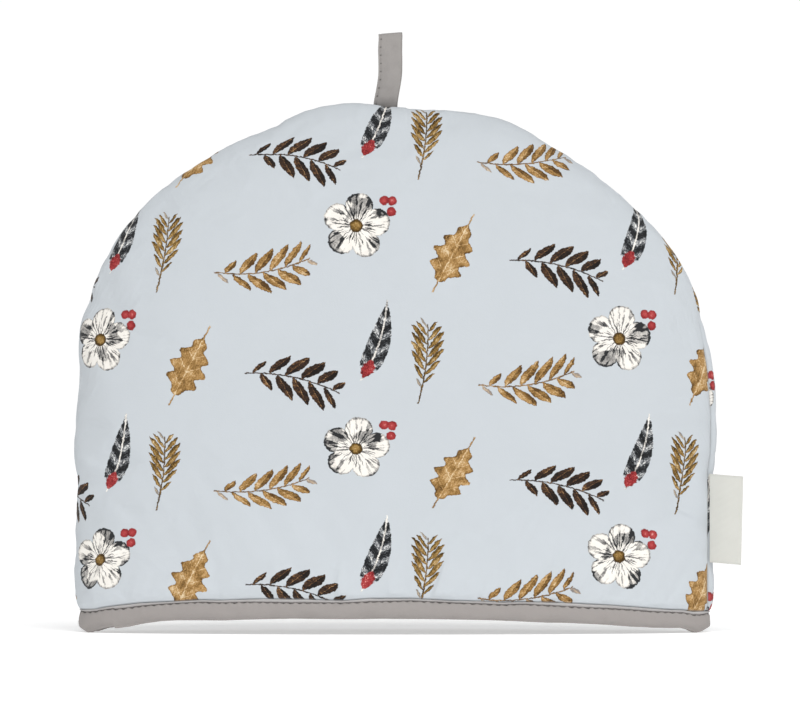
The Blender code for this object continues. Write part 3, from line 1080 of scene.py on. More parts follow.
# ---- The hanging loop ----

LOOP_ROWS = 96
LOOP_COLUMNS = 20
LOOP_STITCH_IN = 1.3 * MM  # from the loop's left edge
LOOP_STITCH_WIDTH = 0.5 * MM
LOOP_STITCH_DEPTH = 0.25  # share of the thickness
LOOP_DRAWN_ALWAYS = 0.45
LOOP_STITCH_SEAT = 0.34  # how far off the middle the thread lies, as a share of the thickness
LOOP_RIM_THIN = 0.25  # and how much thinner the pressed edges are
LOOP_RIM_SHARP = 8  # how near to its edges they thin
LOOP_WANDER = 0.22 * MM
LOOP_WANDERS = ((9 * MM, 20 * MM, 50), (7 * MM, 8 * MM, 53))  # pitch along, pitch across, seed
LOOP_BOW = 0.35 * MM
LOOP_TIP = 1.0 * MM  # the fold rises this much from left to right
LOOP_NEXT = 0.005  # how far along the loop its direction is read


def seam_line(flat_x, height):
    """The bottom of the seam's valley, between the two panels."""
    front, back = (panel_place(face, flat_x, height).point for face in (FRONT, BACK))
    return (front + back) / 2


LOOP_START = seam_line(LOOP_X, arch_height(LOOP_X)) + LOOP_SEAT * UP
LOOP_CLIMB = HEIGHT + LOOP_RISE - LOOP_CLOTH / 2 - LOOP_START.z


def loop_run(along):
    """The way along the tape, from its front foot over the fold to its back foot."""
    climbed = LOOP_CLIMB * math.sin(along * math.pi)
    return climbed if along < 0.5 else 2 * LOOP_CLIMB - climbed


def loop_along(run):
    """The reverse of loop_run."""
    half = math.asin(min(run, 2 * LOOP_CLIMB - run) / LOOP_CLIMB) / math.pi
    return half if run < LOOP_CLIMB else 1 - half


def loop_noise(run, aside, pitch_along, pitch_across, seed):
    return LOOP_WANDER * noise.noise(Vector((run / pitch_along, aside / pitch_across, seed)))


def on_loop(along, aside):
    """A point of the loop's middle surface.

    along is 0 to 1 over the fold, and aside is from the tape's middle line.
    """
    share = math.sin(along * math.pi)
    bulge = max(math.sin(math.pi * share), 0.0)
    turned = min(max(math.cos(along * math.pi) * LOOP_FOLD, -1), 1)
    run = 2 * LOOP_CLIMB * along
    x = LOOP_X + LOOP_LEAN * ramp(share, 0, 0.5) + aside
    x += loop_noise(run, aside, *LOOP_WANDERS[0])
    y = LOOP_START.y - (LOOP_FOOT_GAP + LOOP_EYE * bulge) * turned
    bow = 1 - (2 * aside / LOOP_WIDTH) ** 2
    y -= turned * LOOP_BOW * bow * math.sin(math.pi * share)
    y += turned * loop_noise(run, aside, *LOOP_WANDERS[1])
    z = LOOP_START.z + LOOP_CLIMB * share + LOOP_TIP * aside / LOOP_WIDTH * share
    return Vector((x, y, z))


def loop_groove(along, aside):
    """How far the row of stitches along the loop's edge draws it in, 0 to 1."""
    from_stitches = (aside + LOOP_WIDTH / 2 - LOOP_STITCH_IN) / LOOP_STITCH_WIDTH
    stitch = 0.5 + 0.5 * math.cos(2 * math.pi * loop_run(along) / STITCH_PITCH)
    pull = LOOP_DRAWN_ALWAYS + (1 - LOOP_DRAWN_ALWAYS) * stitch
    return pull * math.exp(-from_stitches * from_stitches)


def make_loop(material):
    def place(along, across):
        aside = (across - 0.5) * LOOP_WIDTH
        rim = abs(2 * across - 1) ** LOOP_RIM_SHARP
        share = 1 - LOOP_STITCH_DEPTH * loop_groove(along, aside) - LOOP_RIM_THIN * rim
        cut = Vector((across * LOOP_WIDTH, loop_run(along)))
        return dome_place(on_loop(along, aside)), cut, share

    return finish_sheet("hanging_loop_tape", (LOOP_ROWS, LOOP_COLUMNS), place, material, LOOP_CLOTH)


def loop_stitch_frames():
    """Where the loop's stitches lie, on both faces of both its halves."""
    aside = LOOP_STITCH_IN - LOOP_WIDTH / 2
    frames = []
    for step in range(1, int(2 * LOOP_CLIMB / STITCH_PITCH)):
        along = loop_along(step * STITCH_PITCH)
        turned = math.cos(along * math.pi)
        if abs(turned) * LOOP_FOLD < 1:
            continue
        point = on_loop(along, aside)
        run = (on_loop(along + LOOP_NEXT, aside) - point).normalized()
        out = Vector((0, -1 if turned > 0 else 1, 0))
        out = (out - run * out.dot(run)).normalized()
        for side in (1, -1):
            seat = point + out * side * LOOP_CLOTH * LOOP_STITCH_SEAT
            frames.append(stitch_frame(seat, run, out))
    return frames


# ---- The label ----

LABEL_PLY = 0.32 * MM
LABEL_BULGE = 0.5 * MM
LABEL_LEAN = 1.1 * MM  # its lower corner reaches out less than its upper one
LABEL_FOLD = 12  # how sharply the ribbon turns back
LABEL_RIPPLE = 0.5 * MM
LABEL_RIPPLES = (1.7, 2.6, 60)  # waves along, waves up and seed
LABEL_ROWS = 40
LABEL_COLUMNS = 64


def make_label(material):
    start = seam_line(HALF_WIDTH, LABEL_FOOT + LABEL_HEIGHT / 2) + LABEL_SEAT

    def place(along, up):
        """along runs out over the front of the folded ribbon and back behind it."""
        out = 1 - abs(2 * along - 1)
        layer = -1 if along < 0.5 else 1
        apart = LABEL_PLY / 2 + LABEL_BULGE * math.sin(math.pi * out) ** 2 * (0.5 + 0.5 * up)
        apart *= math.sqrt(max(1 - out**LABEL_FOLD, 0.0))
        x = start.x + out * (LABEL_REACH - LABEL_LEAN * (1 - up))
        y = start.y - LABEL_FORWARD * out + LABEL_CURL * out * out
        waves_out, waves_up, seed = LABEL_RIPPLES
        ripple = noise.noise(Vector((out * waves_out, up * waves_up, seed)))
        y += layer * apart + LABEL_RIPPLE * ripple * out
        z = LABEL_FOOT + up * LABEL_HEIGHT + LABEL_SLOPE * out * LABEL_REACH
        cut = Vector((2 * LABEL_REACH * along, up * LABEL_HEIGHT))
        return dome_place(Vector((x, y, z))), cut, 1

    grid = (LABEL_COLUMNS, LABEL_ROWS)
    return finish_sheet("side_label_ribbon", grid, place, material, LABEL_PLY)


# ---- Materials ----


class Signal:
    """A value in a node tree. Ordinary maths on signals adds the nodes that work it out."""

    def __init__(self, tree, socket):
        self.tree = tree
        self.socket = socket

    @staticmethod
    def of(tree, kind, settings, inputs, output=0):
        """Adds a node, its settings first, and gives one of its outputs.

        inputs holds signals or constants. The setting "stops" is a ramp's painted stops.
        """
        made = tree.nodes.new(kind)
        for name, value in settings.items():
            if name == "stops":
                paint_stops(made.color_ramp.elements, value)
            else:
                setattr(made, name, value)
        for name, value in inputs.items():
            feed(tree, made.inputs[name], value)
        return Signal(tree, made.outputs[output])

    def node(self, kind, settings, inputs, output=0):
        return Signal.of(self.tree, kind, settings, inputs, output)

    def math(self, operation, *others, clamp=False):
        settings = {"operation": operation, "use_clamp": clamp}
        return self.node("ShaderNodeMath", settings, dict(enumerate((self, *others))))

    def __add__(self, other):
        return self.math("ADD", other)

    __radd__ = __add__

    def __sub__(self, other):
        return self.math("SUBTRACT", other)

    def __rsub__(self, other):
        return (self * -1) + other

    def __mul__(self, other):
        return self.math("MULTIPLY", other)

    __rmul__ = __mul__

    def __truediv__(self, other):
        return self.math("DIVIDE", other)

    def __abs__(self):
        return self.math("ABSOLUTE")

    def edge(self, softness):
        """0 well below zero, 1 well above it, and a soft step between."""
        return self.math("MULTIPLY_ADD", 1 / softness, 0.5, clamp=True)

    def clamped(self):
        return self.math("ADD", 0, clamp=True)

    def part(self, axis):
        return self.node("ShaderNodeSeparateXYZ", {}, {"Vector": self}, axis)


def feed(tree, socket, value):
    if isinstance(value, Signal):
        tree.links.new(value.socket, socket)
    else:
        socket.default_value = value


def paint_stops(bar, stops):
    while len(bar) < len(stops):
        bar.new(0.5)
    for element, (place, code) in zip(bar, stops):
        element.position = place
        element.color = (*linear_colour(code), 1)


def vector_of(x, y):
    return x.node("ShaderNodeCombineXYZ", {}, {"X": x, "Y": y})


def noise_at(x, y, scale, detail=2, rough=0.5, output=0):
    inputs = {"Vector": vector_of(x, y), "Scale": scale, "Detail": detail, "Roughness": rough}
    return x.node("ShaderNodeTexNoise", {"noise_dimensions": "2D"}, inputs, output)


def blend(factor, low, high):
    """A colour between two."""
    settings = {"data_type": "RGBA", "clamp_factor": True}
    return factor.node("ShaderNodeMix", settings, {0: factor, 6: low, 7: high}, 2)


def toned(tone, stops):
    """The colour of a tone from 0 to 1 between painted stops."""
    return tone.node("ShaderNodeValToRGB", {"stops": stops}, {0: tone})


def linear_colour(code):
    """From the usual six-figure notation."""
    parts = [int(code[i : i + 2], 16) / 255 for i in (0, 2, 4)]
    return tuple(c / 12.92 if c < 0.04045 else ((c + 0.055) / 1.055) ** 2.4 for c in parts)


def uv_place(tree, name):
    """The two coordinates of a UV map, in millimetres."""
    place = Signal.of(tree, "ShaderNodeUVMap", {"uv_map": name}, {})
    return place.part("X") * 1000, place.part("Y") * 1000


def new_material(name, values):
    """A material and its main shader, with the values of some of the shader's sockets."""
    material = bpy.data.materials.new(name)
    material.use_nodes = True
    shader = material.node_tree.nodes["Principled BSDF"]
    for socket, value in values.items():
        shader.inputs[socket].default_value = value
    return material, shader


def new_yarn(name, roughness, sheen=0.1):
    """A soft material, and its main shader."""
    values = {
        "Roughness": roughness,
        "Specular IOR Level": 0.25,
        "Sheen Weight": sheen,
        "Sheen Roughness": 0.5,
    }
    return new_material(name, values)


def new_cloth(name, roughness, sheen=0.1):
    """A cloth material, with its main shader and its cut coordinates in millimetres."""
    material, shader = new_yarn(name, roughness, sheen)
    return material, shader, *uv_place(material.node_tree, "cut")


def dye(shader, colour, relief=None):
    """Gives a shader its colour and the height of its threads, in metres."""
    feed(colour.tree, shader.inputs["Base Color"], colour)
    if relief:
        inputs = {"Distance": 1, "Strength": 1, "Height": relief}
        feed(colour.tree, shader.inputs["Normal"], relief.node("ShaderNodeBump", {}, inputs))


def shaded(shade, colour):
    return blend(shade, (0, 0, 0, 1), colour)


Weave = namedtuple("Weave", "pitch depth")  # in millimetres, and in metres
PRINT_WEAVE = Weave(0.42, 0.00003)
PLAIN_WEAVE = Weave(0.45, 0.00004)
RIBBON_WEAVE = Weave(0.4, 0.00002)
SLUB_SCALE = 1.4
SLUB_STRETCH = 0.35  # a slub's thickness as a share of its length


def weave_height(across, up, weave):
    """Height of a plain weave, in metres: its threads go over and under in turn."""
    half_turn = math.pi / weave.pitch
    over = (across * half_turn).math("COSINE") * (up * half_turn).math("COSINE")
    slub = noise_at(across, up * SLUB_STRETCH, SLUB_SCALE)
    slub = slub + noise_at(across * SLUB_STRETCH, up, SLUB_SCALE)
    return over * (weave.depth * 0.5) + slub * weave.depth


# ---- The print: a half-drop repeat of painted plants, all sizes in millimetres ----

REPEAT_ACROSS = 136
REPEAT_UP = 116
LINE = 0.3  # how soft a painted outline is
WAVER = 1.3  # how far the brush wanders
STEM, STALK, QUILL, LEAF_STALK = 0.34, 0.42, 0.4, 0.4  # half the widths of painted lines
RIB, SIDE_RIB, MAIN_RIB = 0.16, 0.2, 0.28

GOLD = [(0.0, "43300F"), (0.35, "7C5E2B"), (0.65, "A98850"), (1.0, "DCC69B")]
TAN = [(0.0, "543A1A"), (0.35, "8F6C3A"), (0.65, "B9925C"), (1.0, "E2CDA8")]
UMBER = [(0.0, "17100C"), (0.4, "3A281C"), (0.7, "6B4A2E"), (1.0, "C09A6A")]
INK = [(0.0, "0D0E10"), (0.45, "2C2E31"), (0.7, "7D8084"), (1.0, "E9E9E6")]
CREAM = [(0.0, "2A2B2D"), (0.28, "A9A6A2"), (0.5, "EDE8E0"), (1.0, "FBF8F2")]
SCARLET = [(0.0, "4E1416"), (0.45, "942A2D"), (0.8, "B54645"), (1.0, "DFA19B")]

Spot = namedtuple("Spot", "x y turn")
EAR_AT = Spot(16, 24, 84)
TAN_BRANCH_AT = Spot(68, 12, 8)
DARK_BRANCH_AT = Spot(84, 74, -12)
LEAF_AT = Spot(30, 80, 62)
FLOWER_AT = Spot(116, 36, 10)
FEATHER_AT = Spot(128, 92, 72)

# A stem with leaves, in mm, and how strongly each thing about it is painted
Sprig = namedtuple("Sprig", "spot shift half leaf width pitch slant bend stalk brush paint")
Brush = namedtuple("Brush", "wash stroke fineness shade rib rim lighter")
EAR_BRUSH = Brush(1.0, 0.9, 1.5, 0.25, 0.3, 0.3, 0)
TAN_BRUSH = Brush(1.0, 0.8, 1.2, 0.3, 0.35, 0.25, 0)
DARK_BRUSH = Brush(0.9, 1.0, 1.3, 0.25, 0.5, 0, -0.1)
SPRIGS = [
    Sprig(EAR_AT, 2, 17, 8.6, 2.25, 4.4, 1.15, 0.004, 22, EAR_BRUSH, GOLD),
    Sprig(TAN_BRANCH_AT, 0, 25, 11.5, 3.4, 7.8, 0.95, 0.006, 0, TAN_BRUSH, TAN),
    Sprig(DARK_BRANCH_AT, 0, 25, 12, 3.6, 8.4, 0.85, -0.005, 0, DARK_BRUSH, UMBER),
]

BARE_TIP, TIP_LEAVES = 1.5, 0.45  # the stem's bare tip, and the share to which its leaves shrink

LEAF_LENGTH, LEAF_WIDTH, LOBES, LOBE_DEPTH = 34, 10.5, 4.5, 0.2
LEAF_POINT, LEAF_RIB_SLANT = 0.8, 0.9
LEAF_STALK_END = 0.68  # how far from the leaf's middle, as a share of its length
PETALS, PETAL, PETALS_FROM, PETAL_POINT = 5, 6.5, 11, 0.55
FLOWER_MIDDLE, BERRY = 3.4, 2.5
BERRIES = ((19, 4), (16.5, 10.5), (20.5, 9.5))
FEATHER_LENGTH, FEATHER_WIDTH, FEATHER_BEND, FEATHER_POINT = 42, 17, 0.006, 0.6
BARE_QUILL, BARB_SLANT, BAR_TURN = 0.16, 0.9, 0.75
TUFT_FROM, TUFT_TO, TUFT_WIDTH = 0.02, 0.27, 210


def beside(across, up, spot):
    """From a motif's middle, in its own directions, for the nearest of its repeats."""
    aside = across - spot.x
    column = (aside / REPEAT_ACROSS).math("ROUND")
    aside = aside - column * REPEAT_ACROSS
    above = up - spot.y + column * (REPEAT_UP / 2)
    above = above - (above / REPEAT_UP).math("ROUND") * REPEAT_UP
    cos, sin = math.cos(math.radians(spot.turn)), math.sin(math.radians(spot.turn))
    return aside * cos + above * sin, above * cos - aside * sin


def strokes(along, aside, fineness):
    """Brush strokes that run along a motif, around 0."""
    return noise_at(along * 0.28, aside * fineness, 1.0, rough=0.6) - 0.5


def stroke_line(along, aside, half_length, half_width):
    """A painted straight line."""
    return (half_width - abs(aside)).edge(LINE) * (half_length - abs(along)).edge(0.5)


def paint_sprig(colour, across, up, mottle, sprig):
    """A stem along x with leaves in turn on both sides."""
    along, aside = beside(across, up, sprig.spot)
    x = along - sprig.shift
    y = aside - x * x * sprig.bend
    side = abs(y)
    turn = y.math("GREATER_THAN", 0) * 0.5
    place = (x - side * sprig.slant) / sprig.pitch + turn
    cell = place.math("ROUND")
    from_rib = (place - cell) * sprig.pitch
    reach = sprig.half - BARE_TIP - abs((cell - turn) * sprig.pitch)
    taper = (reach * (1 / sprig.half) + TIP_LEAVES).clamped()
    share = side / sprig.leaf / taper
    outline = (share * (1 - share)) * (4 * sprig.width) * taper - abs(from_rib)
    leaves = outline.edge(0.25) * reach.edge(0.5)
    mask = leaves.math("MAXIMUM", stroke_line(x, y, sprig.half, STEM))
    if sprig.stalk:
        stalk = stroke_line(along, aside - (along * along) * sprig.bend, sprig.stalk, STALK)
        mask = mask.math("MAXIMUM", stalk * (0 - along).edge(1))
    brush = sprig.brush
    tone = mottle * brush.wash + strokes(along, aside, brush.fineness) * brush.stroke
    tone = tone - from_rib.edge(0.5) * brush.shade + (RIB - abs(from_rib)).edge(0.25) * brush.rib
    tone = tone - (0.5 - outline).edge(0.6) * brush.rim + brush.lighter
    return blend(mask, colour, toned(tone, sprig.paint))


def paint_leaf(colour, across, up, mottle):
    """A lobed leaf, from its stalk at -x to its tip at +x."""
    x, y = beside(across, up, LEAF_AT)
    share = x / LEAF_LENGTH + 0.5
    round_off = share.math("POWER", LEAF_POINT)
    plump = (round_off * (1 - round_off)) * (4 * LEAF_WIDTH)
    wave = (share * (2 * math.pi * LOBES)).math("COSINE") * LOBE_DEPTH + (1 - LOBE_DEPTH)
    outline = plump * wave - abs(y)
    side_rib = (x - abs(y) * LEAF_RIB_SLANT) / (LEAF_LENGTH / LOBES) + 0.5
    side_rib = abs(side_rib - side_rib.math("ROUND")) * (LEAF_LENGTH / LOBES)
    rib = (SIDE_RIB - side_rib).edge(LINE).math("MAXIMUM", (MAIN_RIB - abs(y)).edge(LINE))
    leaf = outline.edge(LINE) * share.edge(0.02)
    mask = leaf.math("MAXIMUM", stroke_line(x, y, LEAF_LENGTH * LEAF_STALK_END, LEAF_STALK))
    tone = mottle + strokes(x, y, 1.1) * 0.7 + rib * 0.35 - (0.8 - outline).edge(1.0) * 0.3
    return blend(mask, colour, toned(tone, TAN))


def from_middle(x, y):
    return (x * x + y * y).math("SQRT")


def paint_flower(colour, across, up, mottle):
    """A white flower with ink streaks, a golden middle and berries."""
    x, y = beside(across, up, FLOWER_AT)
    gap = from_middle(x, y)
    angle = y.math("ARCTAN2", x)
    petal = abs((angle * (PETALS / 2)).math("COSINE")).math("POWER", PETAL_POINT)
    outline = petal * PETAL + PETALS_FROM - gap
    tone = mottle * 0.5 + 0.45 - (1.0 - outline).edge(1.2) * 0.42  # grey at the petals' rims
    patch = noise_at(across + 40, up, 0.075, 1)
    tone = tone - (patch - 0.57).edge(0.05) * (gap - 5).edge(3) * 0.42
    streak = noise_at(angle * 9, gap * 0.12, 1.0, 1)
    tone = tone - (streak - 0.56).edge(0.08) * (15 - gap).edge(10) * 0.6
    colour = blend(outline.edge(LINE), colour, toned(tone, CREAM))
    middle = mottle - (gap - 2.2).edge(1.2) * 0.5
    colour = blend((FLOWER_MIDDLE - gap).edge(LINE), colour, toned(middle, GOLD))
    for berry_x, berry_y in BERRIES:
        gap = from_middle(x - berry_x, y - berry_y)
        tone = mottle * 0.6 + 0.55 - gap / BERRY * 0.5
        colour = blend((BERRY - gap).edge(LINE), colour, toned(tone, SCARLET))
    return colour


def paint_feather(colour, across, up, mottle):
    """A black and white feather with a pale quill and a red tuft."""
    x, y = beside(across, up, FEATHER_AT)
    y = y - x * x * FEATHER_BEND
    side = abs(y)
    share = x / FEATHER_LENGTH + 0.5
    outline = (share.math("POWER", FEATHER_POINT) * (1 - share)) * FEATHER_WIDTH - side
    barbs = strokes(side * 3.2 + 3, x - side * 0.8, 1.5)
    bars = ((x - side * BARB_SLANT) * BAR_TURN).math("SINE")
    tone = mottle * 0.4 + barbs * 1.5 + bars * 0.28 + 0.25
    feather = outline.edge(LINE) * (share - BARE_QUILL).edge(0.02)
    colour = blend(feather, colour, toned(tone, INK))
    quill = stroke_line(x, y, FEATHER_LENGTH / 2 + 0.5, QUILL)
    colour = blend(quill, colour, toned(mottle, CREAM))
    tuft = ((share - TUFT_FROM) * (TUFT_TO - share)) * TUFT_WIDTH - side - barbs * 2.5
    return blend(tuft.edge(0.4), colour, toned(mottle + barbs * 1.2, SCARLET))


def printed(across, up, ground):
    """The cloth's colour with the painted plants on it."""
    wander = noise_at(across, up, 0.55, 2, 0.6, "Color")
    across = across + (wander.part("X") - 0.5) * WAVER
    up = up + (wander.part("Y") - 0.5) * WAVER
    wash = noise_at(across, up, 0.16)
    grain = noise_at(across, up, 1.3, 1)
    mottle = (wash - 0.5) * 1.1 + (grain - 0.5) * 0.7 + 0.5
    colour = ground
    for sprig in SPRIGS:
        colour = paint_sprig(colour, across, up, mottle, sprig)
    for paint in (paint_leaf, paint_flower, paint_feather):
        colour = paint(colour, across, up, mottle)
    return colour


# ---- The cloths ----

LIP_SHADOW_TOP = 11.1 * MM  # painted shadow on the cloth down in the groove above the binding
SEAM_SHADOW = 0.7 * MM  # and in the seam
GROOVE_SHADE, SEAM_SHADE = 0.5, 0.3
SHADOW_COLOUR = (0.2, 0.21, 0.225, 1)
GROUND_COLOURS = ((0.557, 0.594, 0.624, 1), (0.577, 0.614, 0.647, 1))
BINDING_COLOUR = (0.335, 0.310, 0.297, 1)
LIP_HIGHLIGHT_COLOUR = (0.46, 0.445, 0.44, 1)  # a painted highlight on the binding above its stitches
TAPE_COLOUR = (0.335, 0.316, 0.304, 1)
RIBBON_COLOUR = (0.665, 0.665, 0.62, 1)
INNER_COLOUR = (0.63, 0.63, 0.61, 1)
# grey hem thread, made darker than the binding so that it also paints the shade of the stitch
# groove
HEM_THREAD_AND_GROOVE_SHADE_COLOURS = ((0.11, 0.1, 0.096, 1), (0.18, 0.166, 0.16, 1))
LOOP_THREAD_COLOURS = ((0.26, 0.243, 0.232, 1), (0.36, 0.338, 0.325, 1))
# These are in millimetres
LIP_SHADE_DEPTH = 0.8  # painted shade this far down from the binding's upper edge
LIP_HIGHLIGHT_FROM, LIP_HIGHLIGHT_ENDS = 0.9, 0.5  # painted highlight from this far below that edge to this far above the stitches
SHADED_BELOW_FROM, SHADED_BELOW_OVER = 3.2, 7.5  # painted shade darkens the binding from this far below that edge, over this span
STITCH_SHADE_HALF = 0.42  # half the width of the painted shade line in the groove along the stitches
# the size of the painted shade in a needle hole
NEEDLE_HOLE_SHADE = 0.42
RIGHT_EDGE = 0.7  # the tape's dull edge
FEET_SHADE = 4  # painted shade: the tape is darker up to this far from its ends
RIB_PITCH = 0.6  # of the ribbon
RIBBON_EDGE = 1.2


def make_printed_cotton():
    material, shader, across, up = new_cloth("printed_cotton", 0.85, 0.12)
    ground = blend(noise_at(across, up, 0.03), *GROUND_COLOURS)
    from_seam, height = uv_place(material.node_tree, "from_edges")
    # painted shade in the groove above the binding and in the seam
    shadow = (LIP_SHADOW_TOP / MM - height).edge(0.5) * GROOVE_SHADE
    shadow = shadow + (SEAM_SHADOW / MM - from_seam).edge(1.2) * SEAM_SHADE
    colour = blend(shadow, printed(across, up, ground), SHADOW_COLOUR)
    dye(shader, colour, weave_height(across, up, PRINT_WEAVE))
    return material


def make_binding_cotton():
    material, shader, along, over = new_cloth("binding_cotton", 0.88)
    cloud = noise_at(along, over * 1.4, 0.07, 3)
    slub = noise_at(along * 0.5, over * 4, 1.0)
    shade = cloud * 0.16 + slub * 0.12 + 0.97
    # painted shade: darker lower down, where the binding turns under, away from the light
    shade = shade - ((over - SHADED_BELOW_FROM) / SHADED_BELOW_OVER).clamped() * 0.19
    # Painted shade: a dark, wandering line in the groove along the stitches, outside and inside
    lines = [at / MM for row, at in zip(PROFILE, lengths_round(PROFILE)) if row.drawn == 1.0]
    pull = (along * (2 * math.pi / (FITTED_PITCH / MM))).math("COSINE") * -0.5 + 0.5
    wander = noise_at(along * 0.35, over * 0, 1.0) - 0.5
    for line, down in zip(lines, (1, -1)):
        middle = line + (pull * 0.16 + wander * 0.5) * down
        off_line = (over - middle) / (wander * 0.25 + STITCH_SHADE_HALF)
        dark = (0 - off_line * off_line).math("EXPONENT")
        shade = shade * (1 - dark * (pull * 0.3 + wander * 0.9 + 0.58).clamped())
    # painted shade along the binding's upper edge, under the swelling cloth
    shade = shade * (1 - (LIP_SHADE_DEPTH - over).edge(0.4) * 0.45)
    # a painted highlight on the lip between the upper edge and the stitches
    lip = (over - LIP_HIGHLIGHT_FROM).edge(0.5) * (lines[0] - LIP_HIGHLIGHT_ENDS - over).edge(0.4)
    colour = shaded(shade, blend(lip, BINDING_COLOUR, LIP_HIGHLIGHT_COLOUR))
    dye(shader, colour, weave_height(along, over, PLAIN_WEAVE) + cloud * 0.0003)
    return material


def make_tape():
    material, shader, across, along = new_cloth("loop_tape", 0.88)
    cloud = noise_at(across * 1.5, along, 0.12, 3)
    slub = noise_at(across * 4, along * 0.5, 1.0)
    shade = (cloud - 0.5) * 0.36 + slub * 0.1 + 0.95
    # painted shade in the needle holes and along the stitch groove
    pitch = STITCH_PITCH / MM
    stitches = along / pitch
    from_hole = (stitches - (stitches - 0.5).math("ROUND") - 0.5) * pitch
    off_line = across - LOOP_STITCH_IN / MM
    hole = from_hole * from_hole + off_line * off_line
    hole = (0 - hole / (NEEDLE_HOLE_SHADE * NEEDLE_HOLE_SHADE)).math("EXPONENT")
    groove = (0 - off_line * off_line / 0.3).math("EXPONENT")
    shade = shade * (1 - hole * 0.75) * (1 - groove * 0.07)
    shade = shade * (1 - (across - (LOOP_WIDTH / MM - RIGHT_EDGE)).edge(0.4) * 0.2)
    # painted shade near the tape's feet, where it goes down into the seam
    half = LOOP_CLIMB / MM
    shade = shade * (1 - (FEET_SHADE - (half - abs(along - half))).edge(6) * 0.25)
    relief = weave_height(across, along, PLAIN_WEAVE) + cloud * 0.0004
    dye(shader, shaded(shade, TAPE_COLOUR), relief)
    return material


def make_ribbon():
    material, shader, out, up = new_cloth("label_ribbon", 0.75)
    ribs = (up * (2 * math.pi / RIB_PITCH)).math("SINE")
    cloud = noise_at(out, up, 0.1)
    from_edge = up.math("MINIMUM", LABEL_HEIGHT / MM - up)
    edge = (RIBBON_EDGE - from_edge).edge(0.6)
    shade = ribs * 0.025 + cloud * 0.06 + 0.95 - edge * 0.05
    relief = ribs * 0.00003 + weave_height(out, up, RIBBON_WEAVE)
    dye(shader, shaded(shade, RIBBON_COLOUR), relief)
    return material


def make_thread(name, colours):
    material, shader = new_yarn(name, 0.7)
    place = Signal.of(material.node_tree, "ShaderNodeTexCoord", {}, {}, "Object")
    inputs = {"Vector": place, "Scale": 1800, "Detail": 1, "Roughness": 0.5}
    twist = place.node("ShaderNodeTexNoise", {"noise_dimensions": "2D"}, inputs)
    dye(shader, blend(twist, *colours))
    return material


def make_inner_cotton():
    material, shader, across, up = new_cloth("inner_cotton", 0.88)
    cloud = noise_at(across, up, 0.05, 3)
    slub = noise_at(across * 0.4, up * 3, 1.0)
    shade = cloud * 0.1 + slub * 0.08 + 0.9
    dye(shader, shaded(shade, INNER_COLOUR), weave_height(across, up, PLAIN_WEAVE))
    return material


# ---- The pieces ----


def keep(piece, node):
    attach(piece, "root")
    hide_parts(node)


printed_cotton = make_printed_cotton()
inner_cotton = make_inner_cotton()
for name, face in (("front_panel", FRONT), ("back_panel", BACK)):
    panel = make_panel(name + "_cloth", face, [printed_cotton, inner_cotton])
    keep(panel, name)

binding = make_binding(make_binding_cotton())
keep(binding, "hem_binding")

loop = make_loop(make_tape())
keep(loop, "hanging_loop")

label = make_label(make_ribbon())
keep(label, "side_label")

hem_thread = make_thread("hem_thread", HEM_THREAD_AND_GROOVE_SHADE_COLOURS)
hem_stitches = make_stitches("hem_stitches", hem_stitch_frames(), hem_thread)
keep(hem_stitches, "hem_binding")

loop_thread = make_thread("loop_thread", LOOP_THREAD_COLOURS)
loop_stitches = make_stitches("loop_stitches", loop_stitch_frames(), loop_thread)
keep(loop_stitches, "hanging_loop")


# ---- Camera, light and floor ----

PIXELS_WIDE, PIXELS_HIGH = 800, 722
PIXEL = 0.52 * MM  # at the cosy
MIDDLE_PX, FLOOR_PX = 395, 632
SENSOR = 36
CAMERA_AWAY = 4.0
CAMERA_SEES = 50
CAMERA_UP = (FLOOR_PX - PIXELS_HIGH / 2) * PIXEL
CAMERA_X = DOME_SHIFT.x + (PIXELS_WIDE / 2 - MIDDLE_PX) * PIXEL

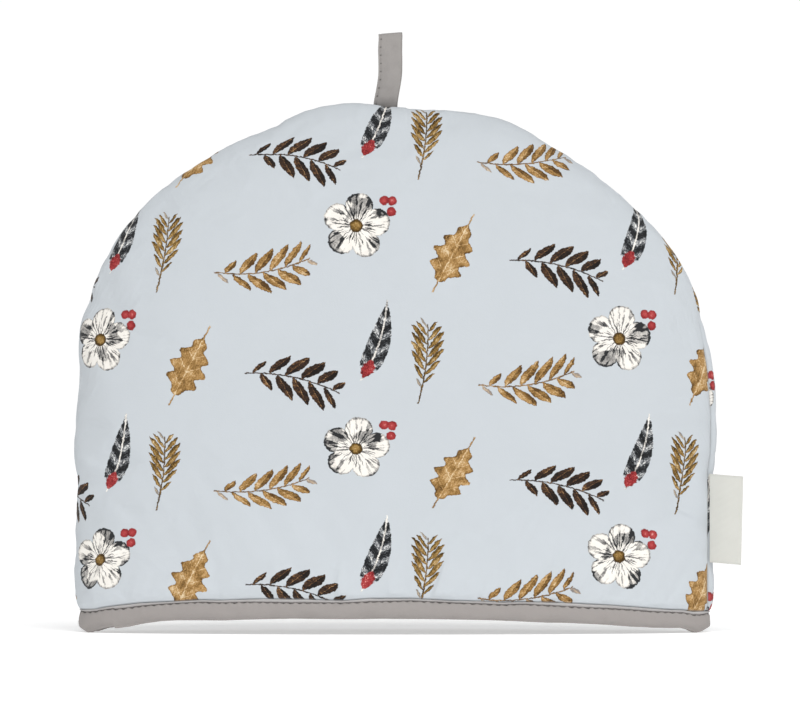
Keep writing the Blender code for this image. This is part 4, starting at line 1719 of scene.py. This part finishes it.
FLOOR_SIZE = 16
FLOOR_TONE = 0.85
FLOOR_GLOW = 0.465  # the floor glows a little, so that it is as pale as the sky
SKY_HEIGHTS = (0.12, 0.35)  # the sky is bright up to the first and dim from the second on
SKY_BRIGHT, SKY_DIM = 1.02, 0.1
Sun = namedtuple("Sun", "name toward strength spread_deg")
SUNS = [
    Sun("key", (-0.16, 1.0, -1.4), 2.12, 40),
    Sun("side", (-0.9, 0.6, -0.5), 0.1, 50),
    Sun("back", (0.05, -0.7, -1.0), 0.15, 30),
]


def make_camera():
    place = (CAMERA_X, DOME_SHIFT.y - CAMERA_AWAY, CAMERA_UP)
    bpy.ops.object.camera_add(location=place, rotation=(math.pi / 2, 0, 0))
    camera = bpy.context.object
    camera.data.sensor_width = SENSOR
    camera.data.lens = SENSOR * CAMERA_AWAY / (PIXELS_WIDE * PIXEL)
    camera.data.clip_end = CAMERA_SEES
    bpy.context.scene.camera = camera


def make_sky():
    world = bpy.data.worlds.new("studio")
    bpy.context.scene.world = world
    world.use_nodes = True
    way = Signal.of(world.node_tree, "ShaderNodeTexCoord", {}, {}, "Generated")
    inputs = {
        "Value": way.part("Z"),
        "From Min": SKY_HEIGHTS[0],
        "From Max": SKY_HEIGHTS[1],
        "To Min": SKY_BRIGHT,
        "To Max": SKY_DIM,
    }
    glow = way.node("ShaderNodeMapRange", {"interpolation_type": "SMOOTHSTEP"}, inputs, "Result")
    feed(world.node_tree, world.node_tree.nodes["Background"].inputs["Color"], glow)


def make_sun(sun):
    deselect_all()
    bpy.ops.object.light_add(type="SUN", location=(0, 0, 3))
    light = bpy.context.object
    light.name = sun.name
    light.data.energy = sun.strength
    light.data.angle = math.radians(sun.spread_deg)
    light.rotation_euler = Vector(sun.toward).to_track_quat("-Z", "Y").to_euler()


def make_floor():
    deselect_all()
    bpy.ops.mesh.primitive_plane_add(size=FLOOR_SIZE)
    floor = bpy.context.object
    floor.name = "floor"
    values = {
        "Base Color": (FLOOR_TONE, FLOOR_TONE, FLOOR_TONE, 1),
        "Roughness": 1.0,
        "Specular IOR Level": 0,
        "Emission Color": (1, 1, 1, 1),
        "Emission Strength": FLOOR_GLOW,
    }
    floor.data.materials.append(new_material("floor", values)[0])


bpy.context.scene.view_settings.view_transform = "Standard"
make_camera()
make_sky()
for sun in SUNS:
    make_sun(sun)
make_floor()
